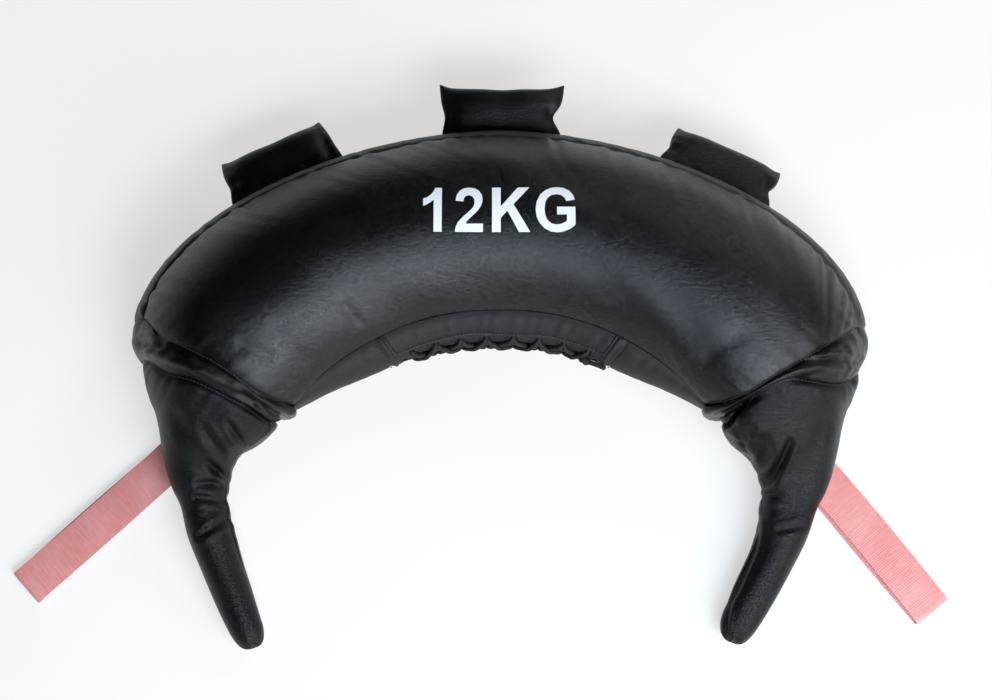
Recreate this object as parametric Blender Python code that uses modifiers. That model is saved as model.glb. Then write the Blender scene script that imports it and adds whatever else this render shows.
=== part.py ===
"""A bulgarian bag: a weighted crescent with two horns, three side grips and two strap loops.

The bag lies on its back. X runs from the left horn to the right one, Y from the horns' tips to the long
convex side, and Z out of the back panel. The origin is on the flat of the back panel, in the bag's middle.
"""

import math

import bmesh
import bpy
from mathutils import Matrix, Vector

PART = "bulgarian_bag"
SIDES = {"left": -1, "right": 1}
RIGHT_ANGLE = math.pi / 2

# Sizes of the body, in metres
outer_seam_span = 0.666
outer_seam_rise = 0.187
outer_seam_foot = 0.088
inner_seam_span = 0.372
inner_seam_rise = 0.082
inner_seam_foot = 0.155
body_height = 0.150
front_seam_height = 0.095
back_seam_height = 0.030
outer_bulge = 0.013
inner_bulge = 0.022
inner_tuck = 0.014

# Materials and the clearances between pieces
leather = 0.0016
seam_gap = 0.0008
end_seam_gap = 0.0009
lining_clearance = 0.0016
wadding = 0.010
sack_clearance = 0.0012
weld = 0.000002
overrun = 0.004

# The body's form, as powers of its curves and shares of its heights
OUTER_POWER = 1.8
INNER_POWER = 2.25
INNER_SWEEP = math.radians(60)
CROWN_POWER = 2.6
REST_SHARE = 0.55
END_DROP_SHARE = 0.16
INNER_BULGE_END_SHARE = 0.10
TUCK_POWER = 2.6

# The filling inside the body, as shares of its length and height
WRAP_SHARE = 0.98
SACK_SPLIT_SHARE = 0.33
SACK_END_SHARE = 0.15
SACK_TUCK_SHARE = 0.12

# The laced filling opening in the inner gusset
OPENING_SHARE = 0.52
closure_slit = 0.009
closure_room = 0.0098
tongue_overlap = 0.018
tongue_gap = 0.0009
lace_diameter = 0.0036
lace_hole = 0.0048
lace_pairs = 8
lace_standoff = 0.0012
hole_margin = 0.0065
lace_corner = 0.0012
knot_diameter = 0.010
TONGUE_LENGTH_SHARE = 0.99
LACE_SPREAD_SHARE = 0.88
LACE_CORNER_SHARE = 0.20
KNOT_DROP_SHARE = 0.85
KNOT_REACH_SHARE = 0.43

# Horns: the wide base is fixed to the body, and the hand grip bends at the neck. Turns are shares of a
# right angle, here and below.
horn_base_length = 0.1145
horn_seam_width = 0.140
horn_grip_length = 0.140
neck_radius = 0.0238
neck_height = 0.0315
neck_clearance = 0.0008
end_band_bulge = 0.004
HORN_TURN_SHARE = {"left": 0.0200, "right": 0.0833}
HORN_SHIFT_SHARE = {"left": 0.0, "right": 0.07}
HORN_SEAM_LEAN_SHARE = 0.78
HORN_SEAM_ROUND_SHARE = 0.12
HORN_ROUND_PLACE_SHARE = 0.75
# Rows: down the horn, sideways, width, underside and top, from the horn's seam to near its neck
HORN_BASE_SHARES = (
    (0.175, 0.079, 1.000, 0.067, 0.787),
    (0.397, 0.092, 0.829, 0.073, 0.687),
    (0.607, 0.144, 0.600, 0.080, 0.573),
    (0.799, 0.162, 0.464, 0.060, 0.453),
)
# Rows: down the grip, sideways, radius and height of its centre, from the neck to the tip
HORN_GRIP_SHARES = (
    (0.035, -0.004, 0.950, 0.985),
    (0.229, -0.039, 0.945, 0.860),
    (0.457, -0.114, 0.875, 0.720),
    (0.686, -0.200, 0.800, 0.640),
    (0.871, -0.271, 0.690, 0.590),
    (0.957, -0.297, 0.520, 0.570),
    (1.000, -0.307, 0.280, 0.560),
)
TIP_START_SHARE = 0.9
TIP_STEEP_SHARE = 1.5
NECK_LEAN_SHARE = 0.09
DOME_ANGLES = (math.radians(64), math.radians(44), math.radians(22), 0.0)

# Side grips, each a stuffed roll on the outer gusset
GRIP_PLACE_SHARES = {"left": -0.426, "centre": 0.006, "right": 0.432}
grip_length = 0.115
grip_reach = 0.047
grip_thickness = 0.034
grip_leather = 0.0013
grip_slit = 0.0004
grip_root_gap = 0.0007
grip_hinge_inset = 0.0015
grip_ear = 0.003
grip_core_clearance = 0.0009
GRIP_EAR_SHARE = {"left": -2.0, "centre": 1.0, "right": -1.0}
GRIP_DROOP_SHARE = {"left": 0.2444, "centre": 0.0444, "right": 0.3556}
GRIP_ROOT_SHARE = 0.22
GRIP_CORE_LENGTH_SHARE = 0.80

# Strap loops of webbing, sewn under the horns
STRAP_TURN_SHARE = {"left": -1.5256, "right": -0.5767}
# Beside and below the body's end, of the horn's length, and up, of the body's height
STRAP_ROOT_SHARES = {"left": (0.3193, 0.5109, 0.0780), "right": (0.1785, 0.5109, 0.0713)}
strap_length = 0.205
strap_width = 0.037
webbing = 0.0014
strap_gap = 0.0052
strap_fall = 0.034

# How finely the curved pieces are stepped
BODY_STEPS = 26
FRONT_STEPS = 8
BACK_STEPS = 6
GUSSET_STEPS = 3
BAND_STEPS = 3
HEM_STEPS = 4
ROLL_STEPS = 14


def mix(low, high, share):
    return low + (high - low) * share


def smooth(rows, place):
    """A point on the smooth curve through rows, place running from 0 to 1."""
    spans = len(rows) - 1
    index = min(int(place * spans), spans - 1)
    t = place * spans - index
    before = rows[max(index - 1, 0)]
    after = rows[min(index + 2, spans)]
    found = []
    for a, b, c, d in zip(before, rows[index], rows[index + 1], after):
        slope_b = (c - a) / 2
        slope_c = (d - b) / 2
        cubic = (2 * b - 2 * c + slope_b + slope_c) * t + (3 * c - 3 * b - 2 * slope_b - slope_c)
        found.append((cubic * t + slope_b) * t + b)
    return found


def material(name, colour, roughness):
    made = bpy.data.materials.new(name)
    made.use_nodes = True
    shader = made.node_tree.nodes["Principled BSDF"]
    shader.inputs["Base Color"].default_value = (*colour, 1.0)
    shader.inputs["Roughness"].default_value = roughness
    shader.inputs["Metallic"].default_value = 0.0
    return made


def add_object(name, mesh, surface, collection):
    made = bpy.data.objects.new(name, mesh)
    mesh.materials.clear()
    mesh.materials.append(surface)
    collection.objects.link(made)
    return made


def place_origin(made, pivot):
    """Moves the object's origin onto its joint's axis, and leaves its shape where it is."""
    made.data.transform(Matrix.Translation(-pivot))
    made.location = pivot


def grid_mesh(name, point, along, around, ring=False, caps=(), flip=False, closed=False):
    """A surface of along by around faces, whose points come from point(p, q), each from 0 to 1."""
    bm = bmesh.new()
    bmesh.ops.create_grid(bm, x_segments=along, y_segments=around, size=1)
    end = bm.verts.layers.int.new("end")
    for vert in bm.verts:
        p = (vert.co.x + 1) / 2
        q = (vert.co.y + 1) / 2
        vert[end] = round(vert.co.x) if abs(vert.co.x) > 1 - 1 / (2 * along) else 0
        vert.co = point(p, q)
    if ring:
        bmesh.ops.remove_doubles(bm, verts=bm.verts, dist=weld)
    for cap in caps:
        rim = [edge for edge in bm.edges if edge.is_boundary and all(vert[end] == cap for vert in edge.verts)]
        bmesh.ops.contextual_create(bm, geom=rim)
    if closed or len(caps) == 2:
        bmesh.ops.recalc_face_normals(bm, faces=bm.faces)
    elif flip:
        bmesh.ops.reverse_faces(bm, faces=bm.faces)
    mesh = bpy.data.meshes.new(name)
    bm.to_mesh(mesh)
    bm.free()
    mesh.shade_smooth()
    mesh.set_sharp_from_angle(angle=math.radians(50))
    return mesh


def tube_wall(name, outer, inner, along, around):
    """A tube with open ends, whose wall runs between two surfaces of along by around faces."""
    stops = 2 * (along + 1)

    def point(p, q):
        stop = round(p * stops) % stops
        if stop <= along:
            return outer(stop / along, q)
        return inner((stops - 1 - stop) / along, q)

    return grid_mesh(name, point, stops, around, ring=True, closed=True)


def thicken(made, thickness):
    """Gives an open surface its thickness, inwards from the outer face."""
    shell = made.modifiers.new("thickness", "SOLIDIFY")
    shell.thickness = thickness
    shell.offset = -1
    shell.use_even_offset = True


def cut(made, cutter, name):
    taken = made.modifiers.new(name, "BOOLEAN")
    taken.operation = "DIFFERENCE"
    taken.solver = "EXACT"
    taken.object = cutter


def cutter_object(name, mesh, collection):
    made = bpy.data.objects.new(name, mesh)
    made.hide_render = True
    made.display_type = "WIRE"
    collection.objects.link(made)
    return made


def outer_seam(u):
    """A point on the long convex seam, u running from -1 at the left end to 1 at the right."""
    angle = u * math.pi / 2
    x = outer_seam_span / 2 * math.copysign(abs(math.sin(angle)) ** (2 / OUTER_POWER), u)
    y = outer_seam_rise * max(math.cos(angle), 0.0) ** (2 / OUTER_POWER) - outer_seam_foot
    return Vector((x, y, 0.0))


def inner_seam(u):
    """A point on the short concave seam, at the same u."""
    share = math.sin(u * INNER_SWEEP) / math.sin(INNER_SWEEP)
    y = inner_seam_rise * (1 - abs(share) ** INNER_POWER) - inner_seam_foot
    return Vector((inner_seam_span / 2 * share, y, 0.0))


def body_frame(u):
    """The middle of the body's section at u, the way across it to the outer side, and half its width."""
    across = outer_seam(u) - inner_seam(u)
    return (outer_seam(u) + inner_seam(u)) / 2, across.normalized(), across.length / 2


def body_section(u, side, v):
    """A point of the body's section: how far across, and how high. v is 1 at the outer or the front seam.

    Towards the ends the back panel's inner seam is tucked in under the front one.
    """
    half = body_frame(u)[2]
    scale = 1 - END_DROP_SHARE * abs(u) ** 5
    high = front_seam_height * scale
    low = back_seam_height * scale
    tuck = inner_tuck * abs(u) ** TUCK_POWER * (1 - v) / 2
    if side == "front":
        return v * half, mix(high, body_height * scale, 1 - abs(v) ** CROWN_POWER)
    if side == "back":
        return v * half + tuck, low * max(0.0, (abs(v) - REST_SHARE) / (1 - REST_SHARE)) ** 2
    bow = 1 - v * v
    height = mix(low, high, (v + 1) / 2)
    if side == "outer":
        return half + outer_bulge * bow, height
    return tuck - half - inner_bulge * mix(1, INNER_BULGE_END_SHARE, u * u) * bow, height


def body_point(u, side, v, inset=0.0):
    """A point on the body's surface, or inset below it, and further below the inner gusset."""
    centre, across, half = body_frame(u)
    s, z = body_section(u, side, v)
    middle = body_height * (1 - END_DROP_SHARE * abs(u) ** 5) / 2
    if inset:
        room = inset if s > 0 else inset + closure_room
        reach = half + (outer_bulge if s > 0 else inner_bulge)
        s *= (reach - room) / reach
        z = middle + (z - middle) * (middle - inset) / middle
    return centre + across * s + Vector((0.0, 0.0, z))


def eased(share):
    """Crowds steps towards both ends, where a panel curves the most. share runs from 0 to 1."""
    return math.sin(math.pi / 2 * (2 * share - 1))


def body_ring():
    """The places round a section, from the inner front seam over the front and round to it again."""
    places = [("front", eased(step / FRONT_STEPS)) for step in range(FRONT_STEPS)]
    places += [("outer", 1 - 2 * step / GUSSET_STEPS) for step in range(GUSSET_STEPS)]
    places += [("back", -eased(step / BACK_STEPS)) for step in range(BACK_STEPS)]
    places += [("inner", 2 * step / GUSSET_STEPS - 1) for step in range(GUSSET_STEPS)]
    return places


RING = body_ring()
RING_STEPS = len(RING)


def ring_place(q):
    return round(q * RING_STEPS) % RING_STEPS


def end_ring_point(index, inset=0.0):
    side, v = RING[index]
    return body_point(1.0, side, v, inset)


def ring_shape(index, roundness):
    """The same place on a unit section, from the body's own form at roundness 0 to a circle at 1."""
    side, v = RING[index]
    s, z = body_section(1.0, side, v)
    middle = body_height * (1 - END_DROP_SHARE) / 2
    half = body_frame(1.0)[2]
    across = s / (half + (outer_bulge if s > 0 else inner_bulge * INNER_BULGE_END_SHARE))
    up = (z - middle) / middle
    size = math.hypot(across, up)
    return mix(across, across / size, roundness), mix(up, up / size, roundness)


def horn_base_rows():
    """The horn's stations in metres, beside the body's end: x, y, half width, underside, top."""
    end = body_frame(1.0)[0]
    rows = []
    for down, sideways, width, low, high in HORN_BASE_SHARES:
        x = end.x + sideways * horn_base_length
        y = end.y - down * horn_base_length
        rows.append((x, y, width * horn_seam_width / 2, low * body_height, high * body_height))
    neck = neck_point(1)
    mouth = neck_radius + neck_clearance + leather
    rows.append((neck.x, neck.y, mouth, neck_height - mouth, neck_height + mouth))
    return rows


def neck_point(side):
    """The horn's hinge point at the neck, in the middle of its section."""
    end = body_frame(1.0)[0]
    last = HORN_BASE_SHARES[-1]
    sideways = (last[1] - (1 - last[0]) * NECK_LEAN_SHARE) * horn_base_length
    return Vector((side * (end.x + sideways), end.y - horn_base_length, neck_height))


def horn_base_point(place, index, side_name, inset=0.0):
    """A point on the horn's base, on the right side of the bag; place is 0 at the seam and 1 at the neck."""
    rows = horn_base_rows()
    x, y, half, low, high = smooth(rows, place)
    step = 1 / (4 * len(rows))
    before = smooth(rows, max(place - step, 0.0))
    after = smooth(rows, min(place + step, 1.0))
    along = Vector((after[0] - before[0], after[1] - before[1], 0.0)).normalized()
    turned = Matrix.Rotation(-RIGHT_ANGLE * HORN_TURN_SHARE[side_name] * place, 3, "Z")
    square = Vector((-along.y, along.x, 0.0))
    settled = min(1.0, place / HORN_ROUND_PLACE_SHARE)
    lean = HORN_SEAM_LEAN_SHARE * (1 - settled)
    across = turned @ square.lerp(body_frame(1.0)[1], lean).normalized()
    shift = HORN_SHIFT_SHARE[side_name] * (1 - settled) * half
    aside, up = ring_shape(index, mix(HORN_SEAM_ROUND_SHARE, 1.0, settled))
    rise = ((high - low) / 2 - inset) * up
    return Vector((x, y, (low + high) / 2 + rise)) + across * ((half - inset) * aside + shift)


def end_band_point(place, index, side_name, inset=0.0):
    """A point between the body's end seam and the horn's seam, bowed out between them."""
    near = end_ring_point(index, inset)
    far = horn_base_point(0.0, index, side_name, inset)
    bow = end_band_bulge * 4 * place * (1 - place)
    aside, up = ring_shape(index, 1.0)
    lift = Vector((0.0, 0.0, max(0.0, up)))
    return near.lerp(far, place) + (body_frame(1.0)[1] * aside + lift) * bow


def horn_grip_rows(inset=0.0):
    """The hand grip's stations in the horn's own frame: down, sideways, radius, height of the centre."""
    rows = []
    ball = neck_radius - inset
    for angle in DOME_ANGLES:
        rows.append((-ball * math.sin(angle), 0.0, ball * math.cos(angle), neck_height))
    for down, sideways, radius, height in HORN_GRIP_SHARES:
        steep = TIP_STEEP_SHARE if down > TIP_START_SHARE else 1.0
        reach = radius * neck_radius - inset * steep
        rows.append((down * horn_grip_length, sideways * horn_grip_length, reach, height * neck_height))
    down, sideways, reach, height = rows[-1]
    rows[-1] = (down - inset * TIP_STEEP_SHARE, sideways, reach, height)
    return rows


def horn_grip_point(place, index, side_name, inset=0.0):
    """A point on the hand grip, on the right side of the bag; place is 0 at the dome and 1 at the tip."""
    rows = horn_grip_rows(inset)
    station = round(place * (len(rows) - 1))
    down, sideways, radius, height = rows[station]
    before = rows[max(station - 1, 0)]
    after = rows[min(station + 1, len(rows) - 1)]
    straight = station < len(DOME_ANGLES)
    lean = 0.0 if straight else math.atan2(after[1] - before[1], after[0] - before[0])
    aside, up = ring_shape(index, 1.0)
    reach = radius * aside
    rise = radius * up
    local = Vector((sideways + reach * math.cos(lean), -down + reach * math.sin(lean), height + rise))
    neck = neck_point(1)
    turned = Matrix.Rotation(-RIGHT_ANGLE * HORN_TURN_SHARE[side_name], 3, "Z")
    return Vector((neck.x, neck.y, 0.0)) + turned @ local


def mirrored(point, side):
    """The same shape on the left side of the bag, for a side of -1."""
    return Vector((side * point.x, point.y, point.z))


def build_body(collection, surfaces):
    reach = 1 - end_seam_gap / outer_seam_rise
    across = 1 - seam_gap / (inner_seam_span / 2)
    edge = 1 - seam_gap / (front_seam_height - back_seam_height)

    def panel(side, turn):
        def point(p, q):
            return body_point((2 * p - 1) * reach, side, turn * eased(q) * across)

        return point

    front = add_object(
        "front_panel",
        grid_mesh("front_panel", panel("front", 1), BODY_STEPS, FRONT_STEPS),
        surfaces["leather"],
        collection,
    )
    back = add_object(
        "back_panel",
        grid_mesh("back_panel", panel("back", -1), BODY_STEPS, BACK_STEPS),
        surfaces["leather"],
        collection,
    )
    outer = add_object(
        "outer_gusset",
        grid_mesh(
            "outer_gusset",
            lambda p, q: body_point((2 * p - 1) * reach, "outer", (1 - 2 * q) * edge),
            BODY_STEPS,
            GUSSET_STEPS,
        ),
        surfaces["gusset"],
        collection,
    )
    for made in (front, back, outer):
        thicken(made, leather)
    for name, side in SIDES.items():
        start = OPENING_SHARE + seam_gap / inner_seam_span

        def point(p, q, side=side, start=start):
            u = mix(start, reach, p)
            return mirrored(body_point(u, "inner", (2 * q - 1) * edge), side)

        mesh = grid_mesh("inner_gusset_" + name, point, BODY_STEPS // 4, GUSSET_STEPS, flip=side < 0)
        thicken(add_object("inner_gusset_" + name, mesh, surfaces["gusset"], collection), leather)


def opening_point(u, drop, depth=0.0):
    """A point on the inner gusset at the opening, drop below the slit's middle and depth below the face."""
    height = (front_seam_height - back_seam_height) / 2
    v = -drop / height
    point = body_point(u, "inner", v)
    across = body_frame(u)[1]
    slope = 2 * inner_bulge * v / height
    normal = (-across + Vector((0.0, 0.0, slope))).normalized()
    return point - normal * depth


def lace_places():
    """Each lace pair's place along the opening, and how far the holes lie from the slit's middle."""
    first = -LACE_SPREAD_SHARE * OPENING_SHARE
    pitch = -2 * first / (lace_pairs - 1)
    return [first + pair * pitch for pair in range(lace_pairs)], pitch, closure_slit / 2 + hole_margin


def lace_route():
    """The lace's points: over the slit from a front hole to a back hole, in, and on behind to the next."""
    over = -lace_diameter / 2 - lace_standoff
    under = leather + lace_diameter / 2 + lace_standoff
    corner = LACE_CORNER_SHARE
    places, pitch, hole = lace_places()
    route = []
    for u in places:
        for share, drop, depth in (
            (0, -1, under - lace_corner),
            (0, -1, over + lace_corner),
            (0, corner - 1, over),
            (0, 0, over),
            (0, 1 - corner, over),
            (0, 1, over + lace_corner),
            (0, 1, under - lace_corner),
            (corner / 2, 1 - corner, under),
            (0.5, 0, under),
            (1 - corner / 2, corner - 1, under),
        ):
            route.append(opening_point(u + share * pitch, drop * hole, depth))
    beside_knot = hole * KNOT_DROP_SHARE - knot_diameter * KNOT_REACH_SHARE
    return route[:-7] + [opening_point(places[-1], beside_knot, over)]


def lace_holes():
    """Each punched hole: its hem, and the ends of the way through it."""
    places, _, hole = lace_places()
    for edge, drop in (("front", -hole), ("back", hole)):
        for u in places:
            yield edge, opening_point(u, drop, -overrun), opening_point(u, drop, leather + overrun)


def tongue_stations():
    """The tongue's section: how far from the slit's middle, and how deep under the gusset's face."""
    reach = closure_slit / 2 + tongue_overlap
    near = leather + tongue_gap
    deep = leather + lace_diameter + 2 * lace_standoff + tongue_gap
    clear = closure_slit / 2 + hole_margin + lace_diameter
    half = [(reach, near), (clear, deep), (clear / 3, deep)]
    return half + [(-drop, depth) for drop, depth in reversed(half)]


def build_opening(collection, cutters, surfaces):
    height = (front_seam_height - back_seam_height) / 2
    edge = height - seam_gap
    slit = closure_slit / 2
    hems = {"front": (-slit, -edge), "back": (edge, slit)}
    made = {}
    for name, (first, last) in hems.items():

        def point(p, q, first=first, last=last):
            return opening_point((2 * p - 1) * OPENING_SHARE, mix(first, last, q))

        mesh = grid_mesh("opening_hem_" + name, point, BODY_STEPS // 2, HEM_STEPS)
        made[name] = add_object("opening_hem_" + name, mesh, surfaces["gusset"], collection)
        thicken(made[name], leather)
    punches = {"front": bmesh.new(), "back": bmesh.new()}
    for name, start, stop in lace_holes():
        way = stop - start
        aim = way.to_track_quat("Z", "Y").to_matrix().to_4x4()
        bmesh.ops.create_cone(
            punches[name],
            cap_ends=True,
            segments=8,
            radius1=lace_hole / 2,
            radius2=lace_hole / 2,
            depth=way.length,
            matrix=Matrix.Translation((start + stop) / 2) @ aim,
        )
    for name, bm in punches.items():
        mesh = bpy.data.meshes.new("lace_punch_" + name)
        bm.to_mesh(mesh)
        bm.free()
        cut(made[name], cutter_object("lace_punch_" + name, mesh, cutters), "lace_holes")

    stations = tongue_stations()

    def tongue_point(p, q):
        drop, depth = stations[round(q * (len(stations) - 1))]
        return opening_point((2 * p - 1) * OPENING_SHARE * TONGUE_LENGTH_SHARE, drop, depth)

    mesh = grid_mesh("closure_tongue", tongue_point, BODY_STEPS // 2, len(stations) - 1)
    thicken(add_object("closure_tongue", mesh, surfaces["gusset"], collection), leather)


def build_lace(collection, surfaces):
    route = lace_route()
    curve = bpy.data.curves.new("closure_lace", "CURVE")
    curve.dimensions = "3D"
    curve.bevel_depth = lace_diameter / 2
    curve.bevel_resolution = 2
    curve.use_fill_caps = True
    spline = curve.splines.new("POLY")
    spline.points.add(len(route) - 1)
    for point, place in zip(spline.points, route):
        point.co = (*place, 1.0)
    curve.materials.append(surfaces["lace"])
    collection.objects.link(bpy.data.objects.new("closure_lace", curve))

    places, _, hole = lace_places()
    centre = opening_point(places[-1], hole * KNOT_DROP_SHARE, -(knot_diameter + seam_gap) / 2)
    bm = bmesh.new()
    at_centre = Matrix.Translation(centre)
    bmesh.ops.create_uvsphere(bm, u_segments=12, v_segments=8, radius=knot_diameter / 2, matrix=at_centre)
    mesh = bpy.data.meshes.new("closure_lace_knot")
    bm.to_mesh(mesh)
    bm.free()
    mesh.shade_smooth()
    add_object("closure_lace_knot", mesh, surfaces["lace"], collection)


def build_filling(collection, surfaces):
    reach = 1 - end_seam_gap / outer_seam_rise
    lining = leather + lining_clearance
    inner = lining + wadding

    def wrap_point(depth):
        def point(p, q):
            side, v = RING[ring_place(q)]
            return body_point((2 * p - 1) * reach * WRAP_SHARE, side, v, depth)

        return point

    mesh = tube_wall("wadding_wrap", wrap_point(lining), wrap_point(inner), BODY_STEPS, RING_STEPS)
    add_object("wadding_wrap", mesh, surfaces["wadding"], collection)

    bounds = {"left": (-1.0, -SACK_SPLIT_SHARE), "centre": (-SACK_SPLIT_SHARE, SACK_SPLIT_SHARE)}
    bounds["right"] = (SACK_SPLIT_SHARE, 1.0)
    for name, (start, stop) in bounds.items():
        gap = sack_clearance / outer_seam_span

        def point(p, q, start=start + gap, stop=stop - gap):
            side, v = RING[ring_place(q)]
            u = mix(start, stop, p) * reach * WRAP_SHARE
            near_end = min(p, 1 - p) / SACK_END_SHARE
            plump = math.sqrt(max(0.0, 1 - max(0.0, 1 - near_end) ** 2))
            depth = inner + sack_clearance + (1 - plump) * SACK_TUCK_SHARE * body_height
            return body_point(u, side, v, depth)

        mesh = grid_mesh("filler_sack_" + name, point, 10, RING_STEPS, ring=True, caps=(-1, 1))
        add_object("filler_sack_" + name, mesh, surfaces["sack"], collection)


def stuffing_stations():
    """Where the horn base's stuffing has its rings: (in the end band or not, place), down to the neck."""
    steps = 2 * len(HORN_BASE_SHARES)
    rows = horn_base_rows()
    neck = Vector(rows[-1][:2])
    stations = [(True, step / BAND_STEPS) for step in range(1, BAND_STEPS)]
    clear = neck_radius + neck_clearance
    for step in range(steps):
        if (Vector(smooth(rows, step / steps)[:2]) - neck).length > clear:
            stations.append((False, step / steps))
    return stations


def build_horns(collection, surfaces):
    band_gap = end_seam_gap / (horn_base_length * HORN_BASE_SHARES[0][0])
    steps = 2 * len(HORN_BASE_SHARES)
    grip_steps = len(horn_grip_rows()) - 1
    stations = stuffing_stations()
    lining = leather + lining_clearance
    for name, side in SIDES.items():

        def band(p, q, name=name, side=side):
            place = mix(band_gap / 2, 1 - band_gap / 2, p)
            return mirrored(end_band_point(place, ring_place(q), name), side)

        def base(p, q, name=name, side=side):
            return mirrored(horn_base_point(p, ring_place(q), name), side)

        def stuffing(p, q, name=name, side=side):
            in_band, place = stations[round(p * (len(stations) - 1))]
            shape = end_band_point if in_band else horn_base_point
            return mirrored(shape(place, ring_place(q), name, lining), side)

        def cover(p, q, name=name, side=side):
            return mirrored(horn_grip_point(p, ring_place(q), name), side)

        def core(p, q, name=name, side=side):
            return mirrored(horn_grip_point(p, ring_place(q), name, leather + neck_clearance), side)

        flip = side < 0
        mesh = grid_mesh("end_gusset_" + name, band, BAND_STEPS, RING_STEPS, ring=True, flip=flip)
        thicken(add_object("end_gusset_" + name, mesh, surfaces["leather"], collection), leather)
        mesh = grid_mesh("horn_base_cover_" + name, base, steps, RING_STEPS, ring=True, flip=flip)
        thicken(add_object("horn_base_cover_" + name, mesh, surfaces["leather"], collection), leather)
        rings = len(stations) - 1
        mesh = grid_mesh("horn_base_stuffing_" + name, stuffing, rings, RING_STEPS, ring=True, caps=(-1, 1))
        add_object("horn_base_stuffing_" + name, mesh, surfaces["wadding"], collection)
        title = "horn_grip_cover_" + name
        mesh = grid_mesh(title, cover, grip_steps, RING_STEPS, ring=True, caps=(1,), flip=flip)
        grip = add_object(title, mesh, surfaces["leather"], collection)
        thicken(grip, leather)
        place_origin(grip, neck_point(side))
        title = "horn_grip_stuffing_" + name
        mesh = grid_mesh(title, core, grip_steps, RING_STEPS, ring=True, caps=(-1, 1))
        grip = add_object(title, mesh, surfaces["wadding"], collection)
        place_origin(grip, neck_point(side))


def gusset_crest(u):
    """The point of the outer gusset's middle facet at u, half way up it."""
    crest = body_point(u, "outer", 1 / GUSSET_STEPS)
    crest.z = body_point(u, "outer", 0.0).z
    return crest


def grip_frame(u):
    """A side grip's hinge: its middle, the way along the gusset and the way out of it."""
    step = grip_length / outer_seam_span / 2
    along = (gusset_crest(u + step) - gusset_crest(u - step)).normalized()
    out = Vector((-along.y, along.x, 0.0))
    crest = gusset_crest(u)
    return crest + out * (grip_root_gap + grip_hinge_inset), along, out


def gusset_line(u, x):
    """How far out the gusset's crest lies at x along a grip's hinge, from its middle."""
    pivot, along, out = grip_frame(u)
    step = grip_length / outer_seam_span / 4
    places = [gusset_crest(u + count * step) - pivot for count in range(-6, 7)]
    for first, second in zip(places, places[1:]):
        if first.dot(along) <= x <= second.dot(along):
            share = (x - first.dot(along)) / (second.dot(along) - first.dot(along))
            return mix(first.dot(out), second.dot(out), share)
    return places[0].dot(out)


def grip_point(name, p, q, inset, length_share):
    """A point on a side grip: p along it, q round its section from the root, over the top and back."""
    u = GRIP_PLACE_SHARES[name]
    pivot, along, out = grip_frame(u)
    place = eased(p)
    angle = q * 2 * math.pi
    depth = grip_reach * (1 - math.cos(angle)) / 2
    fullness = mix(GRIP_ROOT_SHARE, 1.0, (depth / grip_reach) ** 0.7)
    swell = (1 - abs(place * length_share) ** 3) ** 0.5 if abs(place * length_share) < 1 else 0.0
    closed = (grip_leather * 2 + grip_slit) / 2
    thick = max(mix(closed, grip_thickness / 2, swell) - inset, grip_slit / 2)
    ear = grip_ear * GRIP_EAR_SHARE[name] * (depth / grip_reach) ** 2
    x = place * (grip_length / 2 * length_share + ear)
    root = gusset_line(u, max(-grip_length / 2, min(grip_length / 2, x))) + grip_root_gap
    inner_depth = inset + (grip_reach - 2 * inset) * depth / grip_reach
    y = mix(root, grip_reach, inner_depth / grip_reach)
    rise = thick * math.sin(angle) * fullness
    lean = Matrix.Rotation(-RIGHT_ANGLE * GRIP_DROOP_SHARE[name], 3, along)
    return pivot + along * x + lean @ (out * y + Vector((0.0, 0.0, rise)))


def build_side_grips(collection, surfaces):
    core_inset = grip_leather + grip_core_clearance
    for name, u in GRIP_PLACE_SHARES.items():

        def cover(p, q, name=name):
            return grip_point(name, p, q, 0.0, 1.0)

        def lining(p, q, name=name):
            return grip_point(name, p, q, grip_leather, 1.0)

        def core(p, q, name=name):
            return grip_point(name, p, q, core_inset, GRIP_CORE_LENGTH_SHARE)

        pivot = grip_frame(u)[0]
        mesh = tube_wall("grip_cover_" + name, cover, lining, 10, ROLL_STEPS)
        place_origin(add_object("grip_cover_" + name, mesh, surfaces["leather"], collection), pivot)
        mesh = grid_mesh("grip_core_" + name, core, 8, ROLL_STEPS, ring=True, caps=(-1, 1))
        place_origin(add_object("grip_core_" + name, mesh, surfaces["foam"], collection), pivot)


def strap_profile(rise):
    """The webbing's middle line as (along, height): out under the horn, round the fold and back."""
    low = webbing / 2
    high = low + webbing + strap_gap
    root = body_height * rise - webbing
    turn = (high - low) / 2
    bend = strap_length - turn - webbing / 2
    line = [(0.0, root - webbing / 2 - seam_gap / 2)]
    for step in range(1, 6):
        share = step / 5
        ease = share * share * (3 - 2 * share)
        line.append((strap_fall * share, mix(root - webbing / 2 - seam_gap / 2, low, ease)))
    for step in range(1, 5):
        line.append((mix(strap_fall, bend, step / 4), low))
    for step in range(1, 6):
        angle = math.pi * (step / 6) - math.pi / 2
        line.append((bend + turn * math.cos(angle), low + turn + turn * math.sin(angle)))
    for step in range(5):
        line.append((mix(bend, strap_fall, step / 4), high))
    for step in range(1, 6):
        share = step / 5
        ease = share * share * (3 - 2 * share)
        line.append((strap_fall * (1 - share), mix(high, root + webbing / 2 + seam_gap / 2, ease)))
    return line


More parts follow.
